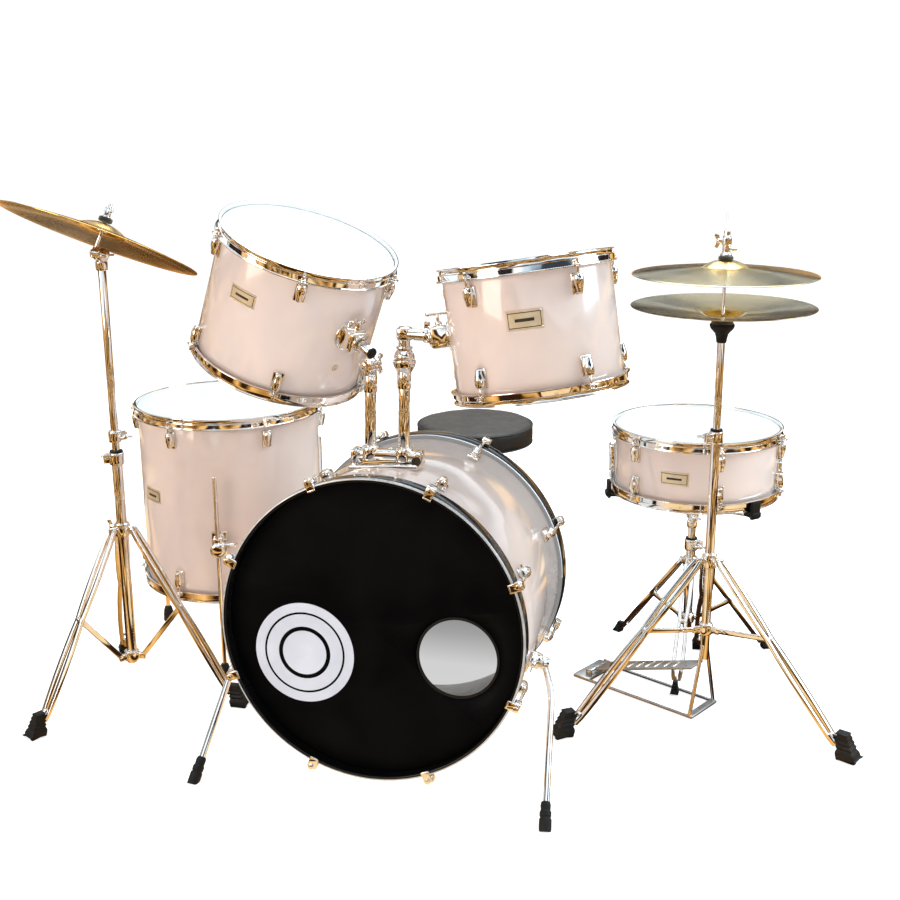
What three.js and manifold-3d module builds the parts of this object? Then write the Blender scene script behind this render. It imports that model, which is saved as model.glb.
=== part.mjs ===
// Acoustic drum kit: bass drum with two mounted toms, floor tom, snare drum on its stand,
// hi-hat, crash cymbal, bass pedal and round throne, standing in playing order.
// Millimetres, +Z up, floor at Z = 0. The audience is towards -Y and the player towards +Y.
import * as THREE from 'three';
import { mergeVertices } from 'three/addons/utils/BufferGeometryUtils.js';
import Module from 'manifold-3d';

const wasm = await Module();
wasm.setup();

const gap = 0.4; // clearance between neighbouring pieces
const drumSides = 22;
const cymbalSides = 22;
const tubeSides = 8;
const rodSides = 6;
const boltSides = 4;
const degree = Math.PI / 180;
const floorY = -361; // the origin is under the middle of the bass pedal's base plate

// ---------- finishes ----------

function finish(color, roughness, metalness) {
  return { color, roughness, metalness };
}

const finishes = {
  pearl: finish(0xf1ece8, 0.22, 0.0),
  blackLacquer: finish(0x08080a, 0.12, 0.0),
  coatedHead: finish(0xf2f5f8, 0.55, 0.0),
  blackHead: finish(0x060607, 0.3, 0.0),
  chrome: finish(0xd8d4cc, 0.08, 1.0),
  steel: finish(0x9a9690, 0.3, 1.0),
  bronze: finish(0xb8924a, 0.28, 1.0),
  rubber: finish(0x0b0b0c, 0.75, 0.0),
  vinyl: finish(0x2a2725, 0.5, 0.0),
};

// ---------- solids ----------

// A closed three.js geometry as a solid whose faces point outwards.
function solidOf(geometry) {
  const source = geometry.index ? geometry.toNonIndexed() : geometry;
  const bare = new THREE.BufferGeometry();
  bare.setAttribute('position', source.getAttribute('position'));
  const merged = mergeVertices(bare, 1e-4);
  const corners = [];
  const index = merged.index.array;
  for (let i = 0; i < index.length; i += 3) {
    const [a, b, c] = [index[i], index[i + 1], index[i + 2]];
    if (a !== b && b !== c && c !== a) corners.push(a, b, c);
  }
  const build = (triVerts) => new wasm.Manifold(new wasm.Mesh({
    numProp: 3,
    vertProperties: merged.attributes.position.array,
    triVerts: new Uint32Array(triVerts),
  }));
  const made = build(corners);
  if (made.volume() > 0) return made;
  for (let i = 0; i < corners.length; i += 3) {
    [corners[i + 1], corners[i + 2]] = [corners[i + 2], corners[i + 1]];
  }
  return build(corners);
}

// A profile of [radius, height] points turned about Z.
function turned(profile, sides = drumSides) {
  const points = profile.map(([radius, height]) => new THREE.Vector2(radius, height));
  const onAxis = profile[0][0] === 0 && profile[profile.length - 1][0] === 0;
  if (!onAxis) points.push(points[0].clone());
  return solidOf(new THREE.LatheGeometry(points, sides).rotateX(Math.PI / 2));
}

function vector(point) {
  return new THREE.Vector3(...point);
}

// Moves a geometry built along Z so that it runs from one point to another.
function along(geometry, from, to) {
  const start = vector(from);
  const end = vector(to);
  const direction = end.clone().sub(start).normalize();
  const turn = new THREE.Quaternion().setFromUnitVectors(new THREE.Vector3(0, 0, 1), direction);
  const middle = start.add(end).multiplyScalar(0.5);
  return geometry.applyQuaternion(turn).translate(middle.x, middle.y, middle.z);
}

function distance(from, to) {
  return vector(from).distanceTo(vector(to));
}

// How wide a hole has to be for a round piece to turn in it, both having flat sides.
function boreFor(radius, sides = tubeSides) {
  return radius / Math.cos(Math.PI / sides) + gap;
}

function rod(from, to, radius, sides = tubeSides, endRadius = radius) {
  const cylinder = new THREE.CylinderGeometry(endRadius, radius, distance(from, to), sides);
  return solidOf(along(cylinder.rotateX(Math.PI / 2), from, to));
}

// A flat bar: deep is its size in the plane it leans in, across its size along Y.
function bar(from, to, deep, across) {
  return solidOf(along(new THREE.BoxGeometry(deep, across, distance(from, to)), from, to));
}

function block([sizeX, sizeY, sizeZ], [x, y, z], turnZ = 0) {
  const box = new THREE.BoxGeometry(sizeX, sizeY, sizeZ).translate(x, y, z);
  return solidOf(box.rotateZ(turnZ));
}

function ball(centre, radius, around = 8, up = 6) {
  return solidOf(new THREE.SphereGeometry(radius, around, up).translate(...centre));
}

function pipe(low, high, outer, inner, sides = tubeSides) {
  return turned([[inner, low], [outer, low], [outer, high], [inner, high]], sides);
}

function joined(pieces) {
  return pieces.reduce((whole, piece) => whole.add(piece));
}

function without(whole, tools) {
  return tools.reduce((rest, tool) => rest.subtract(tool), whole);
}

function onRing(radius, angle, height) {
  return [radius * Math.cos(angle * degree), radius * Math.sin(angle * degree), height];
}

function aroundRing(count, first, make) {
  return Array.from({ length: count }, (_, i) => make(first + (360 / count) * i));
}

const kit = new THREE.Group();
kit.position.y = floorY;

function addGroup(position, parent = kit) {
  const group = new THREE.Group();
  group.position.set(...position);
  parent.add(group);
  return group;
}

function addPiece(group, name, solid, look) {
  const made = solid.getMesh();
  const geometry = new THREE.BufferGeometry();
  geometry.setAttribute('position', new THREE.BufferAttribute(new Float32Array(made.vertProperties), 3));
  geometry.setIndex(new THREE.BufferAttribute(new Uint32Array(made.triVerts), 1));
  geometry.computeVertexNormals();
  const mesh = new THREE.Mesh(geometry, new THREE.MeshStandardMaterial(finishes[look]));
  mesh.name = name;
  group.add(mesh);
  return mesh;
}

// A point of one group's own frame, given in another's.
function across(from, to, point) {
  kit.updateMatrixWorld(true);
  return to.worldToLocal(from.localToWorld(vector(point))).toArray();
}

// ---------- toms, floor tom and snare drum ----------

const shellWall = 6;
const filmThickness = 0.7;
const collarWall = 0.8; // the head's skirt between shell and hoop
const ringWidth = 4; // the flesh hoop that holds the head's edge
const hoopRise = 6; // hoop above the shell's edge
const hoopReach = 7.2; // hoop outside the shell's radius
const hoopSkirt = 13; // hoop below the shell's edge
const lugDepth = 15;
const lugHeight = 30;
const tensionRodRadius = 2.5;
const tensionRodCircle = 10.5; // outside the shell's radius

// The head's section, for the top of a drum whose edge is at height h.
function headProfile(r, h) {
  const inside = r + gap;
  return [
    [0, h + gap], [inside, h + gap], [inside, h - 10], [inside + ringWidth, h - 10],
    [inside + ringWidth, h - 5], [inside + collarWall, h - 5],
    [inside + collarWall, h + gap + filmThickness], [0, h + gap + filmThickness],
  ];
}

// The flanged hoop's section.
function hoopProfile(r, h) {
  const inside = r + gap + collarWall + gap;
  const shelf = h - 5 + gap;
  const skirt = r + gap + ringWidth + gap;
  const outside = r + hoopReach;
  return [
    [inside, shelf], [skirt, shelf], [skirt, h - hoopSkirt], [outside, h - hoopSkirt],
    [outside, h + hoopRise], [inside, h + hoopRise],
  ];
}

// The bottom head and its hoop, which stay together.
function bottomProfile(r, h) {
  const inside = r + gap;
  const outside = r + hoopReach;
  return [
    [0, h + gap], [inside, h + gap], [inside, h - hoopSkirt], [outside, h - hoopSkirt],
    [outside, h + hoopRise], [r + 1.6, h + hoopRise],
    [r + 1.6, h + gap + filmThickness], [0, h + gap + filmThickness],
  ];
}

function flipped(profile) {
  return profile.map(([radius, height]) => [radius, -height]);
}

// Lugs and tension rods for one rim of a drum; side is 1 at the top and -1 at the bottom.
function tuning({ radius, depth, lugs, firstLug, lugInset }, side) {
  const h = depth / 2;
  const middle = side * (h - lugInset);
  const rodEnd = side * (h - 7);
  return aroundRing(lugs, firstLug, (angle) => [
    block([lugDepth + 3, 15, lugHeight], [radius - 3 + (lugDepth + 3) / 2, 0, middle], angle * degree),
    rod(onRing(radius + tensionRodCircle, angle, middle), onRing(radius + tensionRodCircle, angle, rodEnd),
      tensionRodRadius, boltSides),
  ]).flat();
}

function drumShell(drum) {
  const h = drum.depth / 2;
  const inside = drum.radius - shellWall;
  const wall = turned([[inside, -h], [drum.radius, -h], [drum.radius, h], [inside, h]]);
  return joined([wall, ...tuning(drum, 1), ...tuning(drum, -1)]);
}

// Shell, top hoop, top head, and the bottom head with its hoop.
function addDrum(group, name, drum, shell) {
  const h = drum.depth / 2;
  const r = drum.radius;
  addPiece(group, `${name}_shell`, shell, 'pearl');
  addPiece(group, `${name}_top_hoop`, turned(hoopProfile(r, h)), 'chrome');
  addPiece(group, `${name}_top_head`, turned(headProfile(r, h)), 'coatedHead');
  addPiece(group, `${name}_bottom_head`, turned(flipped(bottomProfile(r, h))), 'chrome');
}

// ---------- bass drum ----------

const bass = {
  radius: 278.4, wall: 7.5, depth: 406, centreHeight: 302, noseUp: 3.54,
  hoopOuter: 288, hoopWidth: 35, hoopFace: 231, claws: 8, firstClaw: 22.5,
};
const port = { x: 160, y: -41, radius: 75 };
// In the bass drum's own frame +Z is its front, +Y is up and X is unchanged.
const bassFrame = addGroup([0, 0, bass.centreHeight]);
bassFrame.rotation.x = (90 - bass.noseUp) * degree;

const hoopBack = bass.hoopFace - bass.hoopWidth;
const clawCircle = bass.hoopOuter + 9;
const lugEnd = 150; // how far the shell's lugs reach from the middle

function bassShell() {
  const h = bass.depth / 2;
  const inner = bass.radius - bass.wall;
  const wall = turned([[inner, -h], [bass.radius, -h], [bass.radius, h], [inner, h]]);
  const lugs = [1, -1].flatMap((side) => aroundRing(bass.claws, bass.firstClaw, (angle) => (
    block([28, 15, 30], [bass.radius - 3 + 14, 0, side * (lugEnd - 15)], angle * degree)
  )));
  const brackets = [1, -1].map((side) => spurBracket(side));
  return without(joined([wall, ...lugs, ...brackets]), [1, -1].map((side) => spurBore(side)));
}

// A wooden hoop with its claws and T-handled rods.
function bassHoop(side) {
  const inner = bass.radius + gap + collarWall + 2 * gap;
  const ring = turned([[inner, hoopBack], [bass.hoopOuter, hoopBack],
    [bass.hoopOuter, bass.hoopFace], [inner, bass.hoopFace]]);
  const claws = aroundRing(bass.claws, bass.firstClaw, (angle) => [
    block([22, 18, 14], [bass.hoopOuter + 4, 0, bass.hoopFace - 4], angle * degree),
    rod(onRing(clawCircle, angle, lugEnd + gap), onRing(clawCircle, angle, bass.hoopFace - 8), 3, boltSides),
  ]).flat();
  const hoop = joined([ring, ...claws]);
  return side > 0 ? hoop : hoop.mirror([0, 0, 1]);
}

function bassHeadProfile() {
  const inside = bass.radius + gap;
  const h = bass.depth / 2;
  const ringTop = hoopBack - gap;
  return [
    [0, h + gap], [inside, h + gap], [inside, ringTop - 7], [inside + 7, ringTop - 7],
    [inside + 7, ringTop], [inside + collarWall, ringTop],
    [inside + collarWall, h + gap + filmThickness], [0, h + gap + filmThickness],
  ];
}

function frontHead() {
  const film = turned(bassHeadProfile());
  const middle = bass.depth / 2;
  const hole = rod([port.x, port.y, middle - 5], [port.x, port.y, middle + 5], port.radius, 24);
  return without(film, [hole]);
}

// Spurs: a rod through a bracket on each side, with a knee and a rubber foot.
const spur = { side: 284, along: 62, up: -88, radius: 6.5, hub: 9.5, footRadius: 11 };

function spurPivot(side) {
  return [side * spur.side, spur.up, spur.along];
}

function spurBracket(side) {
  const [x, y, z] = spurPivot(side);
  const outward = vector([x, y, 0]).normalize();
  const foot = outward.clone().multiplyScalar(bass.radius - 4);
  const end = outward.clone().multiplyScalar(bass.radius + 24);
  const base = along(new THREE.BoxGeometry(46, 40, 10), [foot.x, foot.y, z],
    [outward.x * (bass.radius + 6), outward.y * (bass.radius + 6), z]);
  return joined([solidOf(base), rod([foot.x, foot.y, z], [end.x, end.y, z], 15, tubeSides)]);
}

function spurBore(side) {
  const [x, y, z] = spurPivot(side);
  const outward = vector([x, y, 0]).normalize();
  const inner = outward.clone().multiplyScalar(bass.radius + 6);
  const outer = outward.clone().multiplyScalar(bass.radius + 40);
  return rod([inner.x, inner.y, z], [outer.x, outer.y, z], boreFor(spur.hub));
}

// The spur turns in its bracket about the line that points straight out of the shell.
function spurSolid(side) {
  const [x, y, z] = spurPivot(side);
  const outward = vector([x, y, 0]).normalize();
  const hubIn = outward.clone().multiplyScalar(bass.radius + 7);
  const hubOut = outward.clone().multiplyScalar(bass.radius + 37);
  const knuckle = [outward.x * (bass.radius + 31), outward.y * (bass.radius + 31), z];
  const knee = across(kit, bassFrame, [side * 318, -118, 178]);
  const ankle = across(kit, bassFrame, [side * 335, -268, 24]);
  const sole = across(kit, bassFrame, [side * 338, -286, 0]);
  const under = across(kit, bassFrame, [side * 339.3, -297, -10.6]);
  const leg = joined([
    rod([hubIn.x, hubIn.y, z], [hubOut.x, hubOut.y, z], spur.hub),
    rod(knuckle, knee, spur.radius, rodSides),
    rod(knee, sole, spur.radius, rodSides),
    rod(ankle, under, spur.footRadius, rodSides),
  ]);
  const down = across(kit, bassFrame, [side * 338, -286, -50]);
  const up = across(kit, bassFrame, [side * 338, -286, 0]);
  return without(leg, [rod(down, up, 60, rodSides)]);
}

addPiece(bassFrame, 'bass_shell', bassShell(), 'pearl');
addPiece(bassFrame, 'bass_front_hoop', bassHoop(1), 'blackLacquer');
addPiece(bassFrame, 'bass_rear_hoop', bassHoop(-1), 'blackLacquer');
addPiece(bassFrame, 'bass_front_head', frontHead(), 'blackHead');
addPiece(bassFrame, 'bass_batter_head', turned(bassHeadProfile()).mirror([0, 0, 1]), 'coatedHead');
addPiece(bassFrame, 'bass_spur_right', spurSolid(1), 'chrome');
addPiece(bassFrame, 'bass_spur_left', spurSolid(-1), 'chrome');

// ---------- tom mount on the bass drum ----------

const mount = { x: -16, front: 66, spacing: 66, baseTop: 300, postFoot: 292, postRadius: 11 };
const largePost = { x: mount.x - mount.spacing / 2, top: 452, pivot: 466 };
const smallPost = { x: mount.x + mount.spacing / 2, top: 459, pivot: 483 };

function mountBase() {
  const feet = [largePost, smallPost];
  const plate = block([132, 16, 60], [mount.x, mount.baseTop - 14, mount.front]);
  const onLine = (x, y) => [x, y, mount.front];
  const cups = feet.map(({ x }) => rod(onLine(x, mount.baseTop - 20), onLine(x, mount.baseTop + 9), 16));
  const shellShape = rod([0, 0, -60], [0, 0, 180], bass.radius + gap, drumSides);
  const bores = feet.map(({ x }) => (
    rod(onLine(x, mount.postFoot - gap), onLine(x, mount.baseTop + 40), boreFor(mount.postRadius))
  ));
  return without(joined([plate, ...cups]), [shellShape, ...bores]);
}

addPiece(bassFrame, 'tom_mount_base', mountBase(), 'chrome');

// The large tom's post ends in a pinned clevis and the small tom's in a ball socket.
const clevis = { outer: 15, inner: 7 };
const socket = { ball: 17, rim: 6 };

function postSolid({ x, top }) {
  return rod([x, mount.postFoot, mount.front], [x, top, mount.front], mount.postRadius);
}

// ---------- the two mounted toms ----------

const largeTom = { radius: 165, depth: 254, lugs: 5, firstLug: -144, lugInset: 36 };
const smallTom = { radius: 152.4, depth: 229, lugs: 5, firstLug: -119, lugInset: 44 };
const largeTomFrame = addGroup([-222.3, 25.7, 874.7]);
largeTomFrame.rotation.set(8.4 * degree, 19.8 * degree, 0);
const smallTomFrame = addGroup([255.4, -19.2, 852.7]);
smallTomFrame.rotation.set(-4.4 * degree, -8.8 * degree, 0);

const tomBracket = { reach: 34, size: 40, armRadius: 8.5 };
const largeBracket = { angle: -31.8, height: 15 };
const smallBracket = { angle: -172, height: 2 };

function bracketPoint({ radius }, { angle, height }, out) {
  return onRing(radius + out, angle, height);
}

function tomWithBracket(tom, bracket, frame, armPath) {
  const pad = block([6, 52, 52], [tom.radius + 1, 0, bracket.height], bracket.angle * degree);
  const body = block([tomBracket.reach + 3, tomBracket.size, tomBracket.size],
    [tom.radius - 3 + (tomBracket.reach + 3) / 2, 0, bracket.height], bracket.angle * degree);
  const bores = armPath.map(([from, to]) => rod(
    across(bassFrame, frame, from), across(bassFrame, frame, to), boreFor(tomBracket.armRadius)));
  return without(joined([drumShell(tom), pad, body]), bores);
}

// Each arm runs from the joint on its post to the bracket on its tom.
const largeInBracket = across(largeTomFrame, bassFrame, bracketPoint(largeTom, largeBracket, 7));
const largeElbow = across(largeTomFrame, bassFrame, bracketPoint(largeTom, largeBracket, 62));
const largePivot = [largePost.x, largePost.pivot, mount.front];
const smallInBracket = across(smallTomFrame, bassFrame, bracketPoint(smallTom, smallBracket, 7));
const smallPivot = [smallPost.x, smallPost.pivot, mount.front];
const smallElbow = [smallPost.x, smallInBracket[1], mount.front];

const clevisAxis = [0.38, 0, -0.925]; // along the large tom's tilt pin, in the bass drum's frame

function beside(point, out) {
  return vector(point).addScaledVector(vector(clevisAxis).normalize(), out).toArray();
}

const largeNeck = [largePivot[0], largePivot[1] + 23, largePivot[2] + 2];
const largePostSolid = without(
  joined([
    postSolid(largePost),
    rod([largePost.x, largePost.top - 14, mount.front], [largePost.x, largePost.top, mount.front], 12.5),
    rod(beside(largePivot, -15), beside(largePivot, -clevis.inner), clevis.outer),
    rod(beside(largePivot, 15), beside(largePivot, clevis.inner), clevis.outer),
    bar([largePost.x, largePost.top - 4, mount.front], [largePost.x, largePost.top + 2, mount.front], 18, 18),
  ]),
  [rod(beside(largePivot, -20), beside(largePivot, 20), 4.5, rodSides),
    rod(beside(largePivot, -clevis.inner), beside(largePivot, clevis.inner), clevis.outer + 1)],
);
const largeArmSolid = joined([
  rod(
    beside(largePivot, -clevis.inner + gap * 2),
    beside(largePivot, clevis.inner - gap * 2),
    clevis.outer - 1
  ),
  rod(beside(largePivot, -19), beside(largePivot, 19), 4, rodSides),
  rod(largePivot, largeNeck, 6, rodSides),
  ball(largeNeck, 6.4),
  rod(largeNeck, largeElbow, 6, rodSides),
  ball(largeElbow, tomBracket.armRadius + 1.5),
  rod(largeElbow, largeInBracket, tomBracket.armRadius, tubeSides),
]);
const smallPostSolid = without(
  joined([
    postSolid(smallPost),
    rod(
      [smallPost.x, smallPost.top - 22, mount.front],
      [smallPost.x, smallPost.pivot + socket.rim, mount.front],
      socket.ball + 4
    ),
  ]),
  [ball(smallPivot, socket.ball + 2 * gap, 16, 12)],
);
const smallArmSolid = joined([
  ball(smallPivot, socket.ball),
  rod(smallPivot, smallElbow, tomBracket.armRadius, tubeSides),
  ball(smallElbow, tomBracket.armRadius + 0.5),
  rod(smallElbow, smallInBracket, tomBracket.armRadius, tubeSides),
]);

addPiece(bassFrame, 'large_tom_post', largePostSolid, 'chrome');
addPiece(bassFrame, 'large_tom_arm', largeArmSolid, 'chrome');
addPiece(bassFrame, 'small_tom_post', smallPostSolid, 'chrome');
addPiece(bassFrame, 'small_tom_arm', smallArmSolid, 'chrome');

const largeBoreEnd = across(largeTomFrame, bassFrame, bracketPoint(largeTom, largeBracket, 6.4));
const smallBoreEnd = across(smallTomFrame, bassFrame, bracketPoint(smallTom, smallBracket, 6.4));
const largeBore = [[largeBoreEnd, largeElbow]];
const smallBore = [[smallBoreEnd, smallElbow]];
const largeShell = tomWithBracket(largeTom, largeBracket, largeTomFrame, largeBore);
addDrum(largeTomFrame, 'large_tom', largeTom, largeShell);
const smallShell = tomWithBracket(smallTom, smallBracket, smallTomFrame, smallBore);
addDrum(smallTomFrame, 'small_tom', smallTom, smallShell);

// ---------- floor tom ----------

const floorTom = { radius: 203.2, depth: 406, lugs: 6, firstLug: -103, lugInset: 43 };
const floorTomHeight = 383.5;
const floorLeg = { radius: 5, circle: 226, firstAngle: -75, top: 90, bracketHeight: -70 };
const floorTomFrame = addGroup([-521.5, 356, floorTomHeight]);

function floorTomShell() {
  const brackets = aroundRing(3, floorLeg.firstAngle, (angle) => (
    block([38, 30, 52], [floorTom.radius - 3 + 19, 0, floorLeg.bracketHeight], angle * degree)
  ));
  const bores = aroundRing(3, floorLeg.firstAngle, (angle) => (
    rod(onRing(floorLeg.circle, angle, floorLeg.bracketHeight - 60),
      onRing(floorLeg.circle, angle, floorLeg.bracketHeight + 60), floorLeg.radius + gap, rodSides)
  ));
  return without(joined([drumShell(floorTom), ...brackets]), bores);
}

addDrum(floorTomFrame, 'floor_tom', floorTom, floorTomShell());
aroundRing(3, floorLeg.firstAngle, (angle) => angle).forEach((angle, i) => {
  const foot = onRing(floorLeg.circle, angle, -floorTomHeight);
  const leg = joined([
    rod(onRing(floorLeg.circle, angle, -floorTomHeight + 5), onRing(floorLeg.circle, angle, floorLeg.top),
      floorLeg.radius, rodSides),
    rod(foot, onRing(floorLeg.circle, angle, -floorTomHeight + 38), 13, rodSides, 10),
  ]);
  addPiece(floorTomFrame, `floor_tom_leg_${i + 1}`, leg, 'chrome');
});

// ---------- snare drum and its stand ----------

const snare = { radius: 177.8, depth: 140, lugs: 6, firstLug: -131, lugInset: 36 };
const snareHeight = 485;
const snareStand = {
  x: 532, y: 501, tube: 10.5, tubeBore: 9.5, upper: 9, collar: 235, hub: 98, clampTop: 290,
  legAngle: 147, footCircle: 200, basket: 345, armAngle: 195,
};
const snareFrame = addGroup([snareStand.x, snareStand.y, snareHeight]);
const throwOff = { angle: 180, height: -12 };

function snareShell() {
  const strainer = block([16, 34, 56], [-snare.radius - 5, 0, throwOff.height]);
  const slot = block([12, 12, 60], [-snare.radius - 11, 0, throwOff.height + 8]);
  const butt = block([14, 40, 40], [snare.radius + 4, 0, -16]);
  return without(joined([drumShell(snare), strainer, butt]), [slot]);
}

addDrum(snareFrame, 'snare', snare, snareShell());
const leverPivot = [-snare.radius - 9, 0, throwOff.height - 14];
const lever = joined([
  bar(leverPivot, [leverPivot[0] - 5, 0, leverPivot[2] + 46], 5, 10),
  rod([leverPivot[0], -5, leverPivot[2]], [leverPivot[0], 5, leverPivot[2]], 3.5, rodSides),
]);
addPiece(snareFrame, 'snare_throw_off_lever', lever, 'chrome');

// ---------- stands ----------

// One leg of two flat strips, in the XZ plane of its own frame, with a rubber foot flat on the floor.
const strip = { deep: 9, thick: 3, inside: 6 };
const pinRadius = 2.6;

function stripLeg({ collar, collarRadius, footCircle }, footRadius, pinned = true) {
  const top = [collarRadius, 0, collar];
  const foot = [footCircle, 0, 0];
  const down = vector(foot).sub(vector(top)).normalize();
  const at = (point, length) => vector(point).addScaledVector(down, length).toArray();
  const length = distance(top, foot);
  const strips = [1, -1].map((side) => {
    const offset = side * (strip.inside + strip.thick / 2);
    const from = at(top, -5);
    const to = at(top, length - 34);
    return bar([from[0], offset, from[2]], [to[0], offset, to[2]], strip.deep, strip.thick);
  });
  const ankle = at(top, length - 48);
  const reach = strip.inside + 2;
  const pin = rod([top[0], -reach, top[2]], [top[0], reach, top[2]], pinRadius, rodSides);
  const pieces = [
    ...strips,
    ...(pinned ? [pin] : []),
    rod(ankle, at(top, length + 14), footRadius - 2, rodSides, footRadius),
  ];
  return without(joined(pieces), [block([160, 80, 60], [footCircle, 0, -30])]);
}

function strut({ hub, hubRadius }, end) {
  const start = [hubRadius, 0, hub];
  const arm = joined([
    bar(start, end, 8, strip.thick * 2),
    rod([start[0], -3, start[2]], [start[0], 3, start[2]], 6, rodSides),
    rod([end[0], -3, end[2]], [end[0], 3, end[2]], 5, rodSides),
  ]);
  return without(arm, [rod([start[0], -4, start[2]], [start[0], 4, start[2]], pinRadius + gap, rodSides)]);
}

// The ring that the legs hang from: one ear between the strips of each leg.
function collarRing({ collar, collarRadius }, bore, outer, legAngle) {
  const ears = aroundRing(3, legAngle, (angle) => {
    const length = collarRadius + 6 - bore;
    const ear = block([length, 8, 14], [bore + length / 2 + 0.5, 0, collar], angle * degree);
    const hole = rod([collarRadius, -6, collar], [collarRadius, 6, collar], pinRadius + gap, rodSides);
    return ear.subtract(hole.rotate([0, 0, angle]));
  });
  const ring = rod([0, 0, collar - 12], [0, 0, collar + 14], outer);
  return without(joined([ring, ...ears]), [rod([0, 0, collar - 20], [0, 0, collar + 20], bore)]);
}

// The foot of the tube: a pair of ears with a pin for each strut.
function hubRing({ hub, hubRadius }, outer, legAngle) {
  const ears = aroundRing(3, legAngle, (angle) => {
    const pair = [1, -1].map((side) => (
      block([hubRadius + 6 - 8, 3, 12], [8 + (hubRadius - 2) / 2, side * 5.5, hub])
    ));
    const pin = rod([hubRadius, -6, hub], [hubRadius, 6, hub], pinRadius, rodSides);
    return joined([...pair, pin]).rotate([0, 0, angle]);
  });
  return joined([rod([0, 0, hub - 10], [0, 0, hub + 10], outer), ...ears]);
}

function clamp(height, inner, outer) {
  const ring = rod([0, 0, height - 24], [0, 0, height], outer);
  const ear = block([outer + 14, 10, 16], [(outer + 14) / 2, 0, height - 12], Math.PI / 2);
  return without(joined([ring, ear]), [rod([0, 0, height - 40], [0, 0, height + 10], inner)]);
}

// ---------- crash cymbal stand, with a folding tripod ----------

const crash = {
  x: -620, y: 13, tube: 11, tubeBore: 9.5, upper: 8, upperBottom: 300, clampTop: 552, tubeBottom: 84,
  collar: 385, collarRadius: 25, hub: 98, hubRadius: 25, footCircle: 237, legAngle: -117,
  strutFromTop: 192, tubeTop: 946, pivot: 958,
};
const crashFrame = addGroup([crash.x, crash.y, 0]);
const crashLegLength = Math.hypot(crash.footCircle - crash.collarRadius, crash.collar);
const crashLean = Math.asin((crash.footCircle - crash.collarRadius) / crashLegLength);
const crashStrutEnd = [
  crash.collarRadius + crash.strutFromTop * Math.sin(crashLean), 0,
  crash.collar - crash.strutFromTop * Math.cos(crashLean),
];

const crashLower = joined([
  pipe(crash.tubeBottom, crash.clampTop, crash.tube, crash.tubeBore),
  hubRing(crash, 16, crash.legAngle).subtract(
    rod([0, 0, crash.hub - 20], [0, 0, crash.hub + 20], crash.tubeBore)
  ),
  clamp(crash.clampTop, crash.tubeBore, 15),
]);
addPiece(crashFrame, 'crash_lower_tube', crashLower, 'chrome');
addPiece(crashFrame, 'crash_collar', collarRing(crash, crash.tube + gap, 17, crash.legAngle), 'chrome');
aroundRing(3, crash.legAngle, (angle) => angle).forEach((angle, i) => {
  const leg = addPiece(crashFrame, `crash_leg_${i + 1}`, stripLeg(crash, 15), 'chrome');
  const brace = addPiece(crashFrame, `crash_strut_${i + 1}`, strut(crash, crashStrutEnd), 'chrome');
  leg.rotation.z = angle * degree;
  brace.rotation.z = angle * degree;
});

const tilterPin = [0.811, -0.585, 0]; // level, across the cymbal's fall line
function pinPoint(out) {
  return [tilterPin[0] * out, tilterPin[1] * out, crash.pivot];
}
const crashUpper = joined([
  rod([0, 0, crash.upperBottom], [0, 0, crash.tubeTop], crash.upper),
  rod([0, 0, crash.clampTop + 18], [0, 0, crash.clampTop + 42], 14),
  rod([0, 0, crash.tubeTop - 16], [0, 0, crash.tubeTop], 11),
  ...[1, -1].map((side) => rod(pinPoint(side * 6), pinPoint(side * 13), 14)),
  block([16, 16, 10], [0, 0, crash.tubeTop - 5]),
]).subtract(rod(pinPoint(-6), pinPoint(6), 15)).subtract(rod(pinPoint(-20), pinPoint(20), 4.5, rodSides));
addPiece(crashFrame, 'crash_upper_tube', crashUpper, 'chrome');

const cymbalNormal = vector([0.245, 0.34, 0.908]).normalize();
const rodOffset = 30; // the cymbal's rod stands beside the tube, at one end of the tilt pin
function upRod(length) {
  return cymbalNormal.clone().multiplyScalar(length).add(vector(pinPoint(-rodOffset))).toArray();
}
const crashSeat = 60; // from the tilt pin's height to the cymbal's lower felt
const tilter = joined([
  rod(pinPoint(-6 + gap), pinPoint(6 - gap), 13),
  rod(pinPoint(-rodOffset - 4), pinPoint(17), 4, rodSides),
  rod(upRod(0), upRod(crashSeat + 44), 3.5, rodSides),
  rod(upRod(crashSeat - 13), upRod(crashSeat), 11, tubeSides),
]);
addPiece(crashFrame, 'crash_tilter', tilter, 'chrome');

// A cymbal: a shallow bow with a raised bell and a centre hole, its lowest point at Z = 0.
function cymbalProfile({ radius, bow, bell, bellRadius, hole, thickness }) {
  const top = [
    [hole, bow + bell], [bellRadius * 0.6, bow + bell * 0.8], [bellRadius, bow], [radius, 0],
  ];
  const under = [...top].reverse();
  return [...under, ...top.map(([r, z]) => [r, z + thickness])];
}

const crashCymbal = { radius: 203, bow: 17, bell: 16, bellRadius: 52, hole: 5, thickness: 1.6 };
const cymbalFrame = addGroup(upRod(crashSeat + 1.2 - crashCymbal.bow - crashCymbal.bell), crashFrame);
cymbalFrame.quaternion.setFromUnitVectors(new THREE.Vector3(0, 0, 1), cymbalNormal);
addPiece(cymbalFrame, 'crash_cymbal', turned(cymbalProfile(crashCymbal), cymbalSides), 'bronze');

// ---------- hi-hat ----------

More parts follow.
